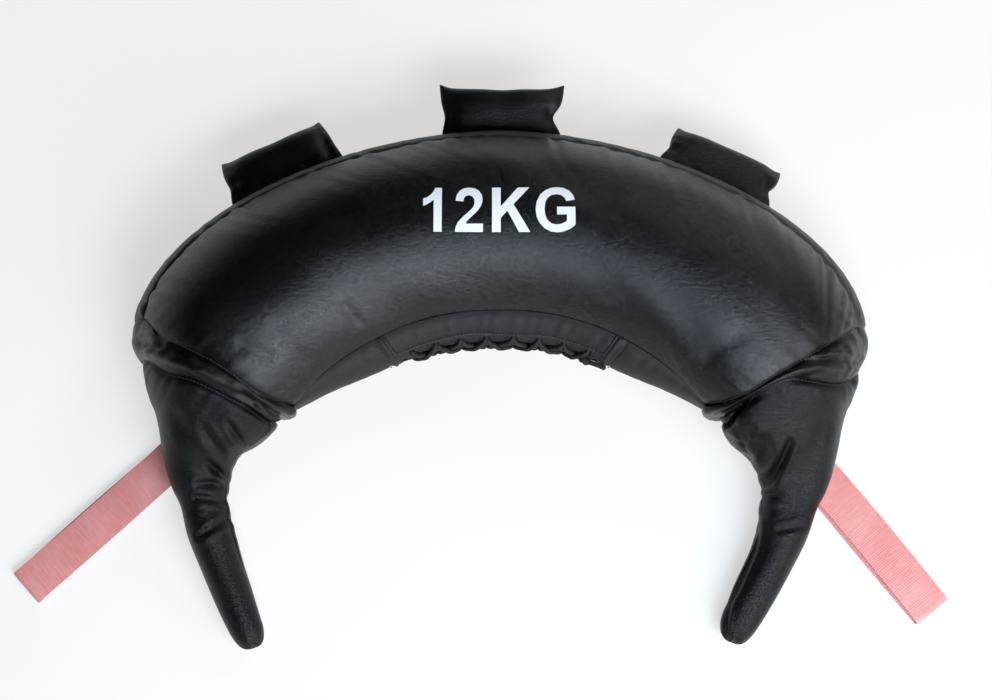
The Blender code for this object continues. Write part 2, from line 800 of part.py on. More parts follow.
def build_straps(collection, surfaces):
    for name, side in SIDES.items():
        beside, down, rise = STRAP_ROOT_SHARES[name]
        line = strap_profile(rise)
        turn = RIGHT_ANGLE * STRAP_TURN_SHARE[name]
        along = Vector((math.cos(turn), math.sin(turn), 0.0))
        across = Vector((-along.y, along.x, 0.0))
        end = body_frame(1.0)[0]
        root = Vector((side * (end.x + beside * horn_base_length), end.y - down * horn_base_length, 0.0))

        def point(p, q, line=line, along=along, across=across, root=root):
            reach, height = line[round(p * (len(line) - 1))]
            return root + along * reach + across * ((q - 0.5) * strap_width) + Vector((0, 0, height))

        mesh = grid_mesh("strap_" + name, point, len(line) - 1, 1)
        made = add_object("strap_" + name, mesh, surfaces["webbing"], collection)
        thicken(made, webbing)
        made.modifiers["thickness"].offset = 0


def clear_scene():
    for made in list(bpy.data.objects):
        bpy.data.objects.remove(made)


def main():
    clear_scene()
    collection = bpy.data.collections.new(PART)
    cutters = bpy.data.collections.new("cutters")
    for made in (collection, cutters):
        bpy.context.scene.collection.children.link(made)
    surfaces = {
        "leather": material("black_leather", (0.012, 0.014, 0.016), 0.42),
        "gusset": material("gusset_leather", (0.02, 0.022, 0.025), 0.5),
        "lace": material("black_cord", (0.01, 0.01, 0.01), 0.8),
        "wadding": material("wadding", (0.7, 0.68, 0.62), 0.95),
        "sack": material("filler_sack", (0.35, 0.3, 0.24), 0.9),
        "foam": material("grip_foam", (0.55, 0.55, 0.5), 0.9),
        "webbing": material("pink_webbing", (0.7, 0.36, 0.38), 0.45),
    }
    build_body(collection, surfaces)
    build_opening(collection, cutters, surfaces)
    build_lace(collection, surfaces)
    build_filling(collection, surfaces)
    build_horns(collection, surfaces)
    build_side_grips(collection, surfaces)
    build_straps(collection, surfaces)


main()
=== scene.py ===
"""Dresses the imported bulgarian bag: leather panels, seams, lacing, side grips, webbing straps and stage."""

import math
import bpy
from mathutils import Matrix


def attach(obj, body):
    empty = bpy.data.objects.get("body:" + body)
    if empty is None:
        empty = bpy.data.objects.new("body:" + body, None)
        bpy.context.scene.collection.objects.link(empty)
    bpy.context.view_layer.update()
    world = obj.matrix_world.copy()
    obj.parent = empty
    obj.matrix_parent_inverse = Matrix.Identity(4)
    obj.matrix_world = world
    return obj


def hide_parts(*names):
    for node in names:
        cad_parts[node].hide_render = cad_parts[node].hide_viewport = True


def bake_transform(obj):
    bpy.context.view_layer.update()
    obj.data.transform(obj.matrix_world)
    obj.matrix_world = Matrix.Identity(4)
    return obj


bl_info = {
    "name": "Bulgarian bag",
    "version": (1, 0, 0),
    "blender": (4, 5, 0),
    "location": "View3D > Sidebar > Bulgarian bag",
    "description": "Makes the leather, stitching, lacing and webbing of a weighted crescent bag",
    "category": "Object",
}

import bmesh
import bpy
import numpy as np
from bpy.props import FloatProperty, FloatVectorProperty, PointerProperty
from mathutils import Matrix, Vector
from mathutils.bvhtree import BVHTree
from mathutils.kdtree import KDTree

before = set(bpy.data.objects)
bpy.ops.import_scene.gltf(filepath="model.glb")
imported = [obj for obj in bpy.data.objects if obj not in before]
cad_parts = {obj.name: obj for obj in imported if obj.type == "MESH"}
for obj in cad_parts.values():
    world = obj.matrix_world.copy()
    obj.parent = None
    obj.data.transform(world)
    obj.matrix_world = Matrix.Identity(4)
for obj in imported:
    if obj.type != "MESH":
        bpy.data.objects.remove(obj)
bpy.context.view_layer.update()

SIDES = {"left": -1, "right": 1}

# The body's form, with the same numbers as the part's source
OUTER_SPAN, OUTER_RISE, OUTER_FOOT, OUTER_POWER = 0.666, 0.187, 0.088, 1.8
INNER_SPAN, INNER_RISE, INNER_FOOT, INNER_POWER = 0.372, 0.082, 0.155, 2.25
INNER_SWEEP = math.radians(60)
HEIGHT, FRONT_SEAM, BACK_SEAM = 0.150, 0.095, 0.030
OUTER_BULGE, INNER_BULGE, INNER_TUCK, TUCK_POWER = 0.013, 0.022, 0.014, 2.6
CROWN_POWER, REST_SHARE, END_DROP, BULGE_END = 2.6, 0.55, 0.16, 0.10

# Rings of points round the body: how many lie on each panel
FRONT, OUTER, BACK, INNER = 42, 16, 32, 16
PANELS = {"front": (0, FRONT), "outer": (FRONT, OUTER), "back": (FRONT + OUTER, BACK)}
PANELS["inner"] = (FRONT + OUTER + BACK, INNER)
RING = FRONT + OUTER + BACK + INNER
ROWS = 168

# The horn's stations, as in the part's source. A row of the base has shares of its length down and aside, then its
# width and how high its lower and upper sides lie; a row of the grip has down, aside, its radius and its height
BASE_LENGTH, SEAM_WIDTH, GRIP_LENGTH = 0.1145, 0.140, 0.140
NECK_RADIUS, NECK_HEIGHT = 0.0238, 0.0315
# How far each horn is turned outwards, and how far the wide end of its cone is moved outwards
TURN = {"left": math.radians(1.8), "right": math.radians(7.5)}
SHIFT = {"left": 0.0, "right": 0.07}
BASE_ROWS = (
    (0.175, 0.079, 1.000, 0.067, 0.787),
    (0.397, 0.092, 0.829, 0.073, 0.687),
    (0.607, 0.144, 0.600, 0.080, 0.573),
    (0.799, 0.162, 0.464, 0.060, 0.453),
)
GRIP_ROWS = (
    (0.035, -0.004, 0.965, 0.985),
    (0.229, -0.039, 0.945, 0.860),
    (0.457, -0.114, 0.875, 0.720),
    (0.686, -0.200, 0.800, 0.640),
    (0.871, -0.271, 0.690, 0.590),
    (0.957, -0.297, 0.520, 0.570),
    (0.990, -0.305, 0.330, 0.560),
    (1.000, -0.308, 0.120, 0.558),
    (1.001, -0.308, 0.004, 0.558),
)

# Where the side grips sit on the outer gusset, and how far each droops
GRIP_PLACE = {"left": -0.426, "centre": 0.006, "right": 0.432}
GRIP_DROOP = {"left": math.radians(22), "centre": math.radians(4), "right": math.radians(32)}
# How far each side grip's outer corners stand out past its root
GRIP_EARS = {"left": -0.006, "centre": 0.003, "right": -0.003}
# The way each strap points in plan, and where it comes out from under its horn
STRAP_ANGLE = {"left": math.radians(-137.3), "right": math.radians(-51.9)}
STRAP_ROOT = {"left": (-0.29606, -0.180, 0.0103), "right": (0.27994, -0.180, 0.0093)}

# Thickness of the leather on the body and its bands, on the horns, on the gussets and in the tongue
BODY_LEATHER, HORN_LEATHER, GUSSET_LEATHER, TONGUE_LEATHER = 0.0014, 0.0012, 0.0013, 0.0012
# How far the panels run towards the body's ends, where u is 1
PANEL_REACH = 1 - 0.0003 / OUTER_RISE
# The widest angle between faces that are shaded as one surface
SMOOTH_ANGLE = math.radians(60)


def mix(low, high, share):
    return low + (high - low) * share


def ease(t):
    t = np.clip(t, 0.0, 1.0)
    return t * t * (3 - 2 * t)


def bell(t):
    """A rounded bump that is 1 at 0 and almost nothing beyond 2."""
    return np.exp(-(t ** 2))


def unit(vectors):
    return vectors / np.maximum(np.linalg.norm(vectors, axis=-1, keepdims=True), 1e-12)


def path_lengths(points):
    """The length run so far at each point of a path."""
    return np.concatenate([[0], np.cumsum(np.linalg.norm(np.diff(points, axis=0), axis=-1))])


def ripple(s, length, seed):
    """An uneven wave from -1 to 1 along s, whose crests lie about length apart."""
    rng = np.random.default_rng(seed)
    total = np.zeros_like(s)
    for share, weight in ((1.0, 0.5), (0.71, 0.3), (1.47, 0.35), (2.3, 0.2)):
        total = total + weight * np.sin(2 * np.pi * s / (length * share) + rng.uniform(0, 2 * np.pi))
    return total / 1.1


def outer_seam(u):
    angle = u * np.pi / 2
    x = OUTER_SPAN / 2 * np.sign(u) * np.abs(np.sin(angle)) ** (2 / OUTER_POWER)
    y = OUTER_RISE * np.maximum(np.cos(angle), 0.0) ** (2 / OUTER_POWER) - OUTER_FOOT
    return np.stack([x, y], -1)


def inner_seam(u):
    share = np.sin(u * INNER_SWEEP) / math.sin(INNER_SWEEP)
    return np.stack([INNER_SPAN / 2 * share, INNER_RISE * (1 - np.abs(share) ** INNER_POWER) - INNER_FOOT], -1)


def body_section(u, half, side, v):
    scale = 1 - END_DROP * np.abs(u) ** 5
    high = FRONT_SEAM * scale
    low = BACK_SEAM * scale
    tuck = INNER_TUCK * np.abs(u) ** TUCK_POWER * (1 - v) / 2
    if side == "front":
        return v * half, mix(high, HEIGHT * scale, 1 - abs(v) ** CROWN_POWER)
    if side == "back":
        return v * half + tuck, low * max(0.0, (abs(v) - REST_SHARE) / (1 - REST_SHARE)) ** 2
    bow = 1 - v * v
    height = mix(low, high, (v + 1) / 2)
    if side == "outer":
        return half + OUTER_BULGE * bow, height
    return tuck - half - INNER_BULGE * mix(1, BULGE_END, u * u) * bow, height


def eased(share):
    return math.sin(math.pi / 2 * (2 * share - 1))


def softer(share):
    """Steps that crowd a little towards both ends."""
    return mix(2 * share - 1, eased(share), 0.45)


def ring_places():
    places = [("front", softer(step / FRONT)) for step in range(FRONT)]
    places += [("outer", 1 - 2 * step / OUTER) for step in range(OUTER)]
    places += [("back", -softer(step / BACK)) for step in range(BACK)]
    places += [("inner", 2 * step / INNER - 1) for step in range(INNER)]
    return places


def body_frame(u):
    outer, inner = outer_seam(u), inner_seam(u)
    across = outer - inner
    width = np.linalg.norm(across, axis=-1)
    return (outer + inner) / 2, across / width[..., None], width / 2


# The middle of the body's right end, and the way across it from the inner to the outer side
END_CENTRE, END_ACROSS = (found[0] for found in body_frame(np.array([1.0]))[:2])
# How far the body's end bulges towards the horn, from the inner to the outer side, measured in the photograph
END_BULGE = {
    "left": (0.0040, 0.0095, 0.0110, 0.0086, 0.0056, 0.0036, 0.0032, 0.0026, 0.0024, 0.0026, 0.0016),
    "right": (0.0030, 0.0112, 0.0140, 0.0128, 0.0108, 0.0096, 0.0082, 0.0056, 0.0036, 0.0024, 0.0010),
}


def body_grid(u):
    """Points of the body's surface, a row for each u and a column for each place round the section."""
    centre, across, half = body_frame(u)
    points = np.zeros((len(u), RING, 3))
    down = np.stack([across[:, 1], -across[:, 0]], -1) * np.sign(u)[:, None]
    for column, (side, v) in enumerate(ring_places()):
        s, z = body_section(u, half, side, v)
        if side == "inner":
            s = s - 0.0085 * (1 - v * v) * bell((np.abs(u) - 0.66) / 0.27)
        low_end, high_end = (
            np.interp(s / half, np.linspace(-1, 1, 11), END_BULGE[end]) for end in ("left", "right")
        )
        bulge = np.where(u < 0, low_end, high_end) * ease((np.abs(u) - 0.78) / 0.22)
        points[:, column, :2] = centre + across * s[:, None] + down * bulge[:, None]
        points[:, column, 2] = z
    return points


def sample(grid, rows, columns, wrap=False):
    """The smooth surface through a grid of points, read at fractional rows and columns."""
    grid = np.asarray(grid)
    rows, columns = np.broadcast_arrays(rows, columns)

    def weights(t):
        return (
            ((2 - t) * t - 1) * t / 2,
            (t * t * (3 * t - 5) + 2) / 2,
            ((4 - 3 * t) * t + 1) * t / 2,
            (t - 1) * t * t / 2,
        )

    r0 = np.clip(np.floor(rows).astype(int), 0, grid.shape[0] - 2)
    count = grid.shape[1]
    c0 = np.floor(columns).astype(int)
    if not wrap:
        c0 = np.clip(c0, 0, count - 2)
    found = 0.0
    for i, wr in enumerate(weights(rows - r0)):
        ri = np.clip(r0 + i - 1, 0, grid.shape[0] - 1)
        for j, wc in enumerate(weights(columns - c0)):
            cj = (c0 + j - 1) % count if wrap else np.clip(c0 + j - 1, 0, count - 1)
            found = found + grid[ri, cj] * (wr * wc)[..., None]
    return found


def normals_of(grid, wrap=False):
    """Unit normals of a grid of points, from its rows' and columns' directions."""
    round_it = np.roll(grid, -1, 1) - np.roll(grid, 1, 1) if wrap else np.gradient(grid, axis=1)
    return unit(np.cross(np.gradient(grid, axis=0), round_it))


def arc_lengths(grid, axis):
    steps = np.linalg.norm(np.diff(grid, axis=axis), axis=-1)
    pad = [(0, 0), (0, 0)]
    pad[axis] = (1, 0)
    return np.pad(np.cumsum(steps, axis=axis), pad)


def select_only(piece):
    bpy.ops.object.select_all(action="DESELECT")
    piece.hide_set(False)
    piece.select_set(True)
    bpy.context.view_layer.objects.active = piece


def apply_modifiers(piece):
    select_only(piece)
    for modifier in list(piece.modifiers):
        bpy.ops.object.modifier_apply(modifier=modifier.name)


def edit_mesh(piece, *steps):
    """Runs mesh operators, each given with its settings, on the whole of a piece."""
    select_only(piece)
    bpy.ops.object.mode_set(mode="EDIT")
    bpy.ops.mesh.select_all(action="SELECT")
    for step, settings in steps:
        step(**settings)
    bpy.ops.object.mode_set(mode="OBJECT")


def read_points(piece, field="co"):
    """A piece's points, or their normals, as rows of three numbers."""
    found = np.zeros(len(piece.data.vertices) * 3)
    piece.data.vertices.foreach_get(field, found)
    return found.reshape(-1, 3)


def grid_piece(name, points, wrap=False):
    """A surface through a grid of points, from a grid primitive that is moved point by point."""
    rows, columns = points.shape[:2]
    if wrap:
        points = np.concatenate([points, points[:, :1]], 1)
        columns += 1
    bpy.ops.object.select_all(action="DESELECT")
    bpy.ops.mesh.primitive_grid_add(x_subdivisions=columns - 1, y_subdivisions=rows - 1, size=1)
    piece = bpy.context.object
    piece.name = name
    piece.data.name = name
    piece.data.vertices.foreach_set("co", np.ascontiguousarray(points.reshape(-1, 3), np.float32).ravel())
    piece.data.update()
    weld = [(bpy.ops.mesh.remove_doubles, {"threshold": 0.0000005})] if wrap else []
    edit_mesh(piece, *weld, (bpy.ops.mesh.flip_normals, {}))
    return piece


def face_outwards(piece, outward):
    """Turns the faces over if they point against a way that is given for one of the piece's points."""
    point, way = outward
    nearest = int(np.argmin(np.linalg.norm(read_points(piece) - np.array(point), axis=1)))
    if piece.data.vertices[nearest].normal.dot(Vector(way)) < 0:
        edit_mesh(piece, (bpy.ops.mesh.flip_normals, {}))


def shade(piece, angle=SMOOTH_ANGLE):
    select_only(piece)
    bpy.ops.object.shade_smooth_by_angle(angle=angle)


def give_thickness(piece, thickness, offset=-1, angle=SMOOTH_ANGLE):
    wall = piece.modifiers.new("wall", "SOLIDIFY")
    wall.thickness = thickness
    wall.offset = offset
    wall.use_even_offset = False
    apply_modifiers(piece)
    shade(piece, angle)


def inflate(name, grid, pins, growth, pressure, frames, cap, stiffness=15):
    """Blows a closed grid of cloth up with Blender's Cloth, keeping the pinned points, and returns its points.

    growth is how much longer than its place each point's cloth was cut, so that seams pucker.
    """
    piece = grid_piece(name, grid, True)
    keys = {tuple(np.round(p * 1e6).astype(int)): i for i, p in enumerate(read_points(piece))}
    order = np.array([
        keys.get(tuple(np.round(np.float32(p).astype(float) * 1e6).astype(int)), -1) for p in grid.reshape(-1, 3)
    ])
    if (order < 0).any():
        raise RuntimeError(name + ": the welded grid lost a point")
    for title, values in (("pin", pins), ("grow", growth)):
        group = piece.vertex_groups.new(name=title)
        for index, value in zip(order.tolist(), values.ravel().tolist()):
            if value > 0:
                group.add([index], value, "REPLACE")
    cloth = piece.modifiers.new("cloth", "CLOTH")
    settings = cloth.settings
    settings.quality = 6
    settings.mass = 0.3
    settings.tension_stiffness = stiffness
    settings.compression_stiffness = stiffness
    settings.shear_stiffness = stiffness / 2
    settings.bending_stiffness = 0.25
    settings.vertex_group_mass = "pin"
    settings.pin_stiffness = 1.0
    settings.vertex_group_shrink = "grow"
    settings.shrink_min = 0.0
    settings.shrink_max = -0.05
    settings.use_pressure = True
    settings.uniform_pressure_force = pressure
    settings.effector_weights.gravity = 0
    cloth.point_cache.frame_start = 1
    cloth.point_cache.frame_end = frames
    for number in range(1, frames + 1):
        bpy.context.scene.frame_set(number)
    apply_modifiers(piece)
    found = read_points(piece)[order].reshape(grid.shape)
    bpy.data.objects.remove(piece)
    bpy.context.scene.frame_set(1)
    step = found - grid
    size = np.linalg.norm(step, axis=-1, keepdims=True)
    return grid + step * np.minimum(1, cap / np.maximum(size, 1e-9))


# What one operator makes and another needs: the finishes, and the points and normals of the surfaces
MADE = {}


def edge_steps(count, fine=0.5):
    """Column places from 0 to count, closer together beside both seams."""
    near = np.array([0.0, 0.12, 0.28, 0.5, 0.75])
    middle = np.arange(1.0, count - 0.99, fine)
    return np.concatenate([near, middle, (count - near)[::-1]])


def seam_dip(distance, depth, width=0.0016):
    """How far a panel dips into the seam at a distance from it, with a soft roll beside the dip."""
    return -depth * bell(distance / width) - 0.45 * depth * bell(distance / (3.2 * width))


# How far short of the body's end its seam lies at the outer side
TRIM = {"left": 0.013, "right": 0.005}
# How far from a seam the puckers reach their full height
PUCKER_START = 0.004


def beside_seam(distance, reach):
    """The strength of the puckers at a distance from their seam."""
    return (1 - bell(distance / PUCKER_START)) * np.exp(-distance / reach)


def trim(bag_side, columns):
    """How far short of the body's end its seam lies, for each place round the section."""
    places = ring_places()
    values = np.zeros(RING + 1)
    for column, (side, v) in enumerate(places):
        if side == "front":
            values[column] = float(ease((v - 0.45) / 0.55)) ** 1.6
        elif side == "outer":
            values[column] = float(ease((v + 1) / 2))
    return TRIM[bag_side] * np.interp(columns % RING, np.arange(RING + 1), values)


def panel_points(side, step, sizes, puckers):
    """A panel's fine points, with its seams dipped in and its puckers raised.

    step is the share of a coarse row and column between fine ones; puckers has a seed, a strength, a pitch and a
    reach for each of the panel's two long seams.
    """
    first, count = PANELS[side]
    row_count = int(round(PANEL_REACH * ROWS / step)) + 1
    rows = np.linspace((1 - PANEL_REACH) / 2 * ROWS, (1 + PANEL_REACH) / 2 * ROWS, row_count)
    columns = first + edge_steps(count, step)
    mesh_rows, mesh_columns = np.meshgrid(rows, columns, indexing="ij")
    body = MADE["body"]
    step_low = np.linalg.norm(body[3] - body[0], axis=-1) / 3
    step_high = np.linalg.norm(body[-1] - body[-4], axis=-1) / 3
    low = trim("left", columns) / np.interp(columns, np.arange(RING), step_low)
    high = trim("right", columns) / np.interp(columns, np.arange(RING), step_high)
    share = (mesh_rows - rows[0]) / (rows[-1] - rows[0])
    mesh_rows = mesh_rows + low * (1 - share) ** 6 - high * share ** 6
    points = sample(MADE["body"], mesh_rows, mesh_columns, True)
    normals = unit(sample(MADE["body_normals"], mesh_rows, mesh_columns, True))
    across = arc_lengths(points, 1)
    near, far = across, across[:, -1:] - across
    along = arc_lengths(points, 0)
    lift = seam_dip(near, sizes.seam_depth) + seam_dip(far, sizes.seam_depth)
    for distance, (seed, strength, pitch, reach) in zip((near, far), puckers):
        slant = along + 0.35 * distance * np.sign(points[..., 0])
        wave = ripple(slant, pitch, seed)
        patchy = 0.55 + 0.45 * ripple(along, pitch * 5.3, seed + 40)
        lift = lift + sizes.pucker_height * strength * patchy * wave * beside_seam(distance, reach)
    return points, normals, along, across, lift


def skin(name, points, thickness, outward, wrap=False):
    """A grid of points as a sheet with a thickness, its outside turned as outward says."""
    piece = grid_piece(name, points, wrap)
    face_outwards(piece, outward)
    give_thickness(piece, thickness)
    return piece


def finish_piece(piece, body, finish, replaced=()):
    """Gives a piece its finish, says which body it rides on, and hides the nodes that it replaces."""
    piece.data.materials.clear()
    piece.data.materials.append(MADE["materials"][finish])
    if body:
        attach(piece, body)
    if replaced:
        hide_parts(*replaced)


def smooth_rows(rows, place):
    """A row on the smooth curve through rows, place running from 0 to 1, as in the part's source."""
    rows = np.asarray(rows, float)
    spans = len(rows) - 1
    index = min(int(place * spans), spans - 1)
    t = place * spans - index
    a, b, c, d = (rows[min(max(index + k, 0), spans)] for k in (-1, 0, 1, 2))
    slope_b, slope_c = (c - a) / 2, (d - b) / 2
    cubic = (2 * b - 2 * c + slope_b + slope_c) * t + (3 * c - 3 * b - 2 * slope_b - slope_c)
    return (cubic * t + slope_b) * t + b


def ring_shape(roundness):
    """A unit section for every ring place, from the body's own form at 0 to a circle at 1."""
    u = np.array([1.0])
    half = body_frame(u)[2]
    middle = HEIGHT * (1 - END_DROP) / 2
    across, up = [], []
    for side, v in ring_places():
        s, z = body_section(u, half, side, v)
        across.append(float(s[0] / (half[0] + (OUTER_BULGE if s[0] > 0 else INNER_BULGE * BULGE_END))))
        up.append(float((np.ravel(z)[0] - middle) / middle))
    across, up = np.array(across), np.array(up)
    size = np.hypot(across, up)
    return mix(across, across / size, roundness), mix(up, up / size, roundness)


def turned(way, angle):
    return np.array([
        way[0] * math.cos(angle) - way[1] * math.sin(angle),
        way[0] * math.sin(angle) + way[1] * math.cos(angle),
    ])


def horn_base_rows():
    end = END_CENTRE
    rows = [
        (end[0] + aside * BASE_LENGTH, end[1] - down * BASE_LENGTH, width * SEAM_WIDTH / 2, low * HEIGHT, high * HEIGHT)
        for down, aside, width, low, high in BASE_ROWS
    ]
    neck = neck_point()
    mouth = NECK_RADIUS + 0.0012
    rows.append((neck[0], neck[1], mouth, NECK_HEIGHT - mouth, NECK_HEIGHT + mouth))
    return rows


def neck_point():
    end = END_CENTRE
    down, aside = BASE_ROWS[-1][:2]
    return np.array([end[0] + (aside - (1 - down) * 0.09) * BASE_LENGTH, end[1] - BASE_LENGTH])


def horn_base_ring(place, side):
    """The horn's section at a place from its seam (0) to its neck (1), on the right side of the bag."""
    rows = horn_base_rows()
    x, y, half, low, high = smooth_rows(rows, place)
    step = 1 / (4 * len(rows))
    before, after = smooth_rows(rows, max(place - step, 0.0)), smooth_rows(rows, min(place + step, 1.0))
    way = (after - before)[:2]
    way /= np.linalg.norm(way)
    settled = min(1.0, place / 0.75)
    across = mix(np.array([-way[1], way[0]]), END_ACROSS, 0.78 * (1 - settled))
    across = turned(across / np.linalg.norm(across), -TURN[side] * place)
    aside, up = ring_shape(mix(0.12, 1.0, settled))
    reach = half * aside + SHIFT[side] * (1 - settled) * half
    ring = np.zeros((RING, 3))
    ring[:, :2] = np.array([x, y]) + across * reach[:, None]
    ring[:, 2] = (low + high) / 2 + (high - low) / 2 * up
    return ring


def horn_grip_ring(row, side):
    """A section of the hand grip, on the right side of the bag."""
    rows = [(0.0, 0.0, 1.0, 1.0)] + list(GRIP_ROWS)
    index = rows.index(row)
    before, after = rows[max(index - 1, 0)], rows[min(index + 1, len(rows) - 1)]
    lean = math.atan2(after[1] - before[1], after[0] - before[0])
    down, sideways, radius, height = row
    aside, up = ring_shape(1.0)
    local = np.stack([
        sideways * GRIP_LENGTH + radius * NECK_RADIUS * aside * math.cos(lean),
        -down * GRIP_LENGTH + radius * NECK_RADIUS * aside * math.sin(lean),
    ], -1)
    cos, sin = math.cos(-TURN[side]), math.sin(-TURN[side])
    ring = np.zeros((RING, 3))
    ring[:, 0] = neck_point()[0] + local[:, 0] * cos - local[:, 1] * sin
    ring[:, 1] = neck_point()[1] + local[:, 0] * sin + local[:, 1] * cos
    ring[:, 2] = height * NECK_HEIGHT + radius * NECK_RADIUS * up
    return ring


# The horn's surface starts this many of the body's rows above its end, and its sections take every second one
BEFORE_END = 8
END_SECTION = BEFORE_END // 2


def horn_stations(side):
    """All the sections from a little above the body's end seam to the tip, on the bag's own side."""
    sign = SIDES[side]
    order = np.arange(-1 - BEFORE_END, 0, 2) if sign > 0 else np.arange(BEFORE_END, -1, -2)
    body = MADE["body"][order].copy()
    body[..., 0] *= sign
    end = body[-1]
    seam = horn_base_ring(0.0, side)
    across = END_ACROSS
    aside, up = ring_shape(1.0)
    rings = list(body)
    for share in (0.25, 0.5, 0.75):
        bow = 0.0040 * 4 * share * (1 - share)
        ring = mix(end, seam, share)
        ring[:, :2] += across * (aside * bow)[:, None]
        ring[:, 2] += np.maximum(0, up) * bow
        rings.append(ring)
    rings += [horn_base_ring(step / 9, side) for step in range(9)]
    rings += [horn_grip_ring(row, side) for row in GRIP_ROWS]
    rings.append(np.repeat(rings[-1].mean(0, keepdims=True), RING, 0))
    rings = np.array(rings)
    rings[..., 0] *= sign
    return rings


# The band's width on top from the inner to the outer side, measured in the photograph
BAND_WIDTHS = {
    "left": (0.0323, 0.0252, 0.0226, 0.0238, 0.0250, 0.0262, 0.0268, 0.0298, 0.0334, 0.0388, 0.0425),
    "right": (0.0380, 0.0210, 0.0130, 0.0112, 0.0134, 0.0195, 0.0260, 0.0345, 0.0419, 0.0478, 0.0522),
}


def reslice(points, arcs, wanted):
    """Points at wanted lengths along each column of a fine grid whose lengths are arcs."""
    found = np.zeros((wanted.shape[0], points.shape[1], points.shape[2]))
    for column in range(points.shape[1]):
        for axis in range(points.shape[2]):
            found[:, column, axis] = np.interp(wanted[:, column], arcs[:, column], points[:, column, axis])
    return found


def to_segment(points, start, stop):
    """Each point's distance from a line piece in plan, and how far along it lies, from 0 to 1."""
    start, stop = np.array(start), np.array(stop)
    way = stop - start
    share = np.clip(((points[..., :2] - start) @ way) / (way @ way), 0, 1)
    return np.linalg.norm(points[..., :2] - start - share[..., None] * way, axis=-1), share


def crease(points, normals, lines):
    """Folds pressed into the upper face along lines in plan: (start, stop, depth, width)."""
    lift = np.zeros(points.shape[:2])
    facing = ease((normals[..., 2] + 0.15) / 0.5)
    for start, stop, depth, width in lines:
        distance, share = to_segment(points, start, stop)
        fade = np.sin(np.pi * np.clip(0.18 + 0.64 * share, 0, 1))
        groove = -bell(distance / width)
        shoulder = 0.55 * bell((distance - 1.9 * width) / width)
        lift += depth * fade * (groove + shoulder)
    return lift * facing


# Folds seen on the horns, in metres in plan: start, stop, depth and width
HORN_FOLDS = {
    "left": (
        ((-0.2456, -0.1776), (-0.2329, -0.1982), 0.0030, 0.0030),
        ((-0.2677, -0.2104), (-0.2500, -0.2240), 0.0030, 0.0030),
        ((-0.2470, -0.2271), (-0.2781, -0.2271), 0.0030, 0.0030),
        ((-0.2560, -0.2420), (-0.2805, -0.2390), 0.0022, 0.0028),
        ((-0.2774, -0.2741), (-0.2523, -0.2576), 0.0022, 0.0032),
        ((-0.2950, -0.1700), (-0.2830, -0.1900), 0.0012, 0.0060),
        ((-0.2700, -0.1820), (-0.2560, -0.2010), 0.0022, 0.0042),
        ((-0.3360, -0.0994), (-0.3097, -0.1051), 0.0036, 0.0040),
        ((-0.3097, -0.1051), (-0.2677, -0.1241), 0.0034, 0.0052),
        ((-0.2677, -0.1241), (-0.2303, -0.1507), 0.0030, 0.0055),
        ((-0.2303, -0.1507), (-0.2098, -0.1678), 0.0022, 0.0045),
        ((-0.2063, -0.1558), (-0.1923, -0.1624), 0.0018, 0.0024),
        ((-0.2190, -0.1605), (-0.2021, -0.1745), 0.0016, 0.0026),
    ),
    "right": (
        ((0.2641, -0.1926), (0.2539, -0.2224), 0.0042, 0.0036),
        ((0.2215, -0.1945), (0.2312, -0.1795), 0.0026, 0.0034),
        ((0.2578, -0.2686), (0.2809, -0.2640), 0.0018, 0.0030),
        ((0.2490, -0.2060), (0.2410, -0.1860), 0.0020, 0.0040),
        ((0.2960, -0.1750), (0.2850, -0.2020), 0.0012, 0.0060),
        ((0.2480, -0.2330), (0.2650, -0.2400), 0.0016, 0.0034),
        ((0.2576, -0.1179), (0.2910, -0.1112), 0.0026, 0.0032),
        ((0.2910, -0.1112), (0.3200, -0.0985), 0.0022, 0.0034),
        ((0.2613, -0.1275), (0.3346, -0.1170), 0.0034, 0.0032),
        ((0.2380, -0.1300), (0.2600, -0.1180), 0.0016, 0.0034),
        ((0.1987, -0.1558), (0.2163, -0.1502), 0.0020, 0.0026),
        ((0.2163, -0.1502), (0.2305, -0.1371), 0.0016, 0.0030),
    ),
}


def band_seam(side, rows, columns, arcs, cut):
    """How far down from the body's end the horn's seam lies, for each column."""
    table = np.array(BAND_WIDTHS[side])
    cad = arcs[np.argmin(np.abs(rows - END_SECTION - 4.0))][::2]
    seam = cad.copy()
    seam[:FRONT] = np.interp([place[1] for place in ring_places()[:FRONT]], np.linspace(-1, 1, len(table)), table)
    seam[FRONT:FRONT + OUTER] = mix(table[-1], cad[FRONT + OUTER], np.linspace(0, 1, OUTER, endpoint=False))
    seam[-INNER:] = mix(cad[-INNER], table[0], np.linspace(0, 1, INNER, endpoint=False))
    seam = np.interp(columns, np.arange(RING + 1), np.append(seam, seam[0]))
    kernel = np.hanning(13)
    seam = np.convolve(np.concatenate([seam[-6:], seam, seam[:6]]), kernel / kernel.sum(), "valid")
    return seam - cut * 0.9


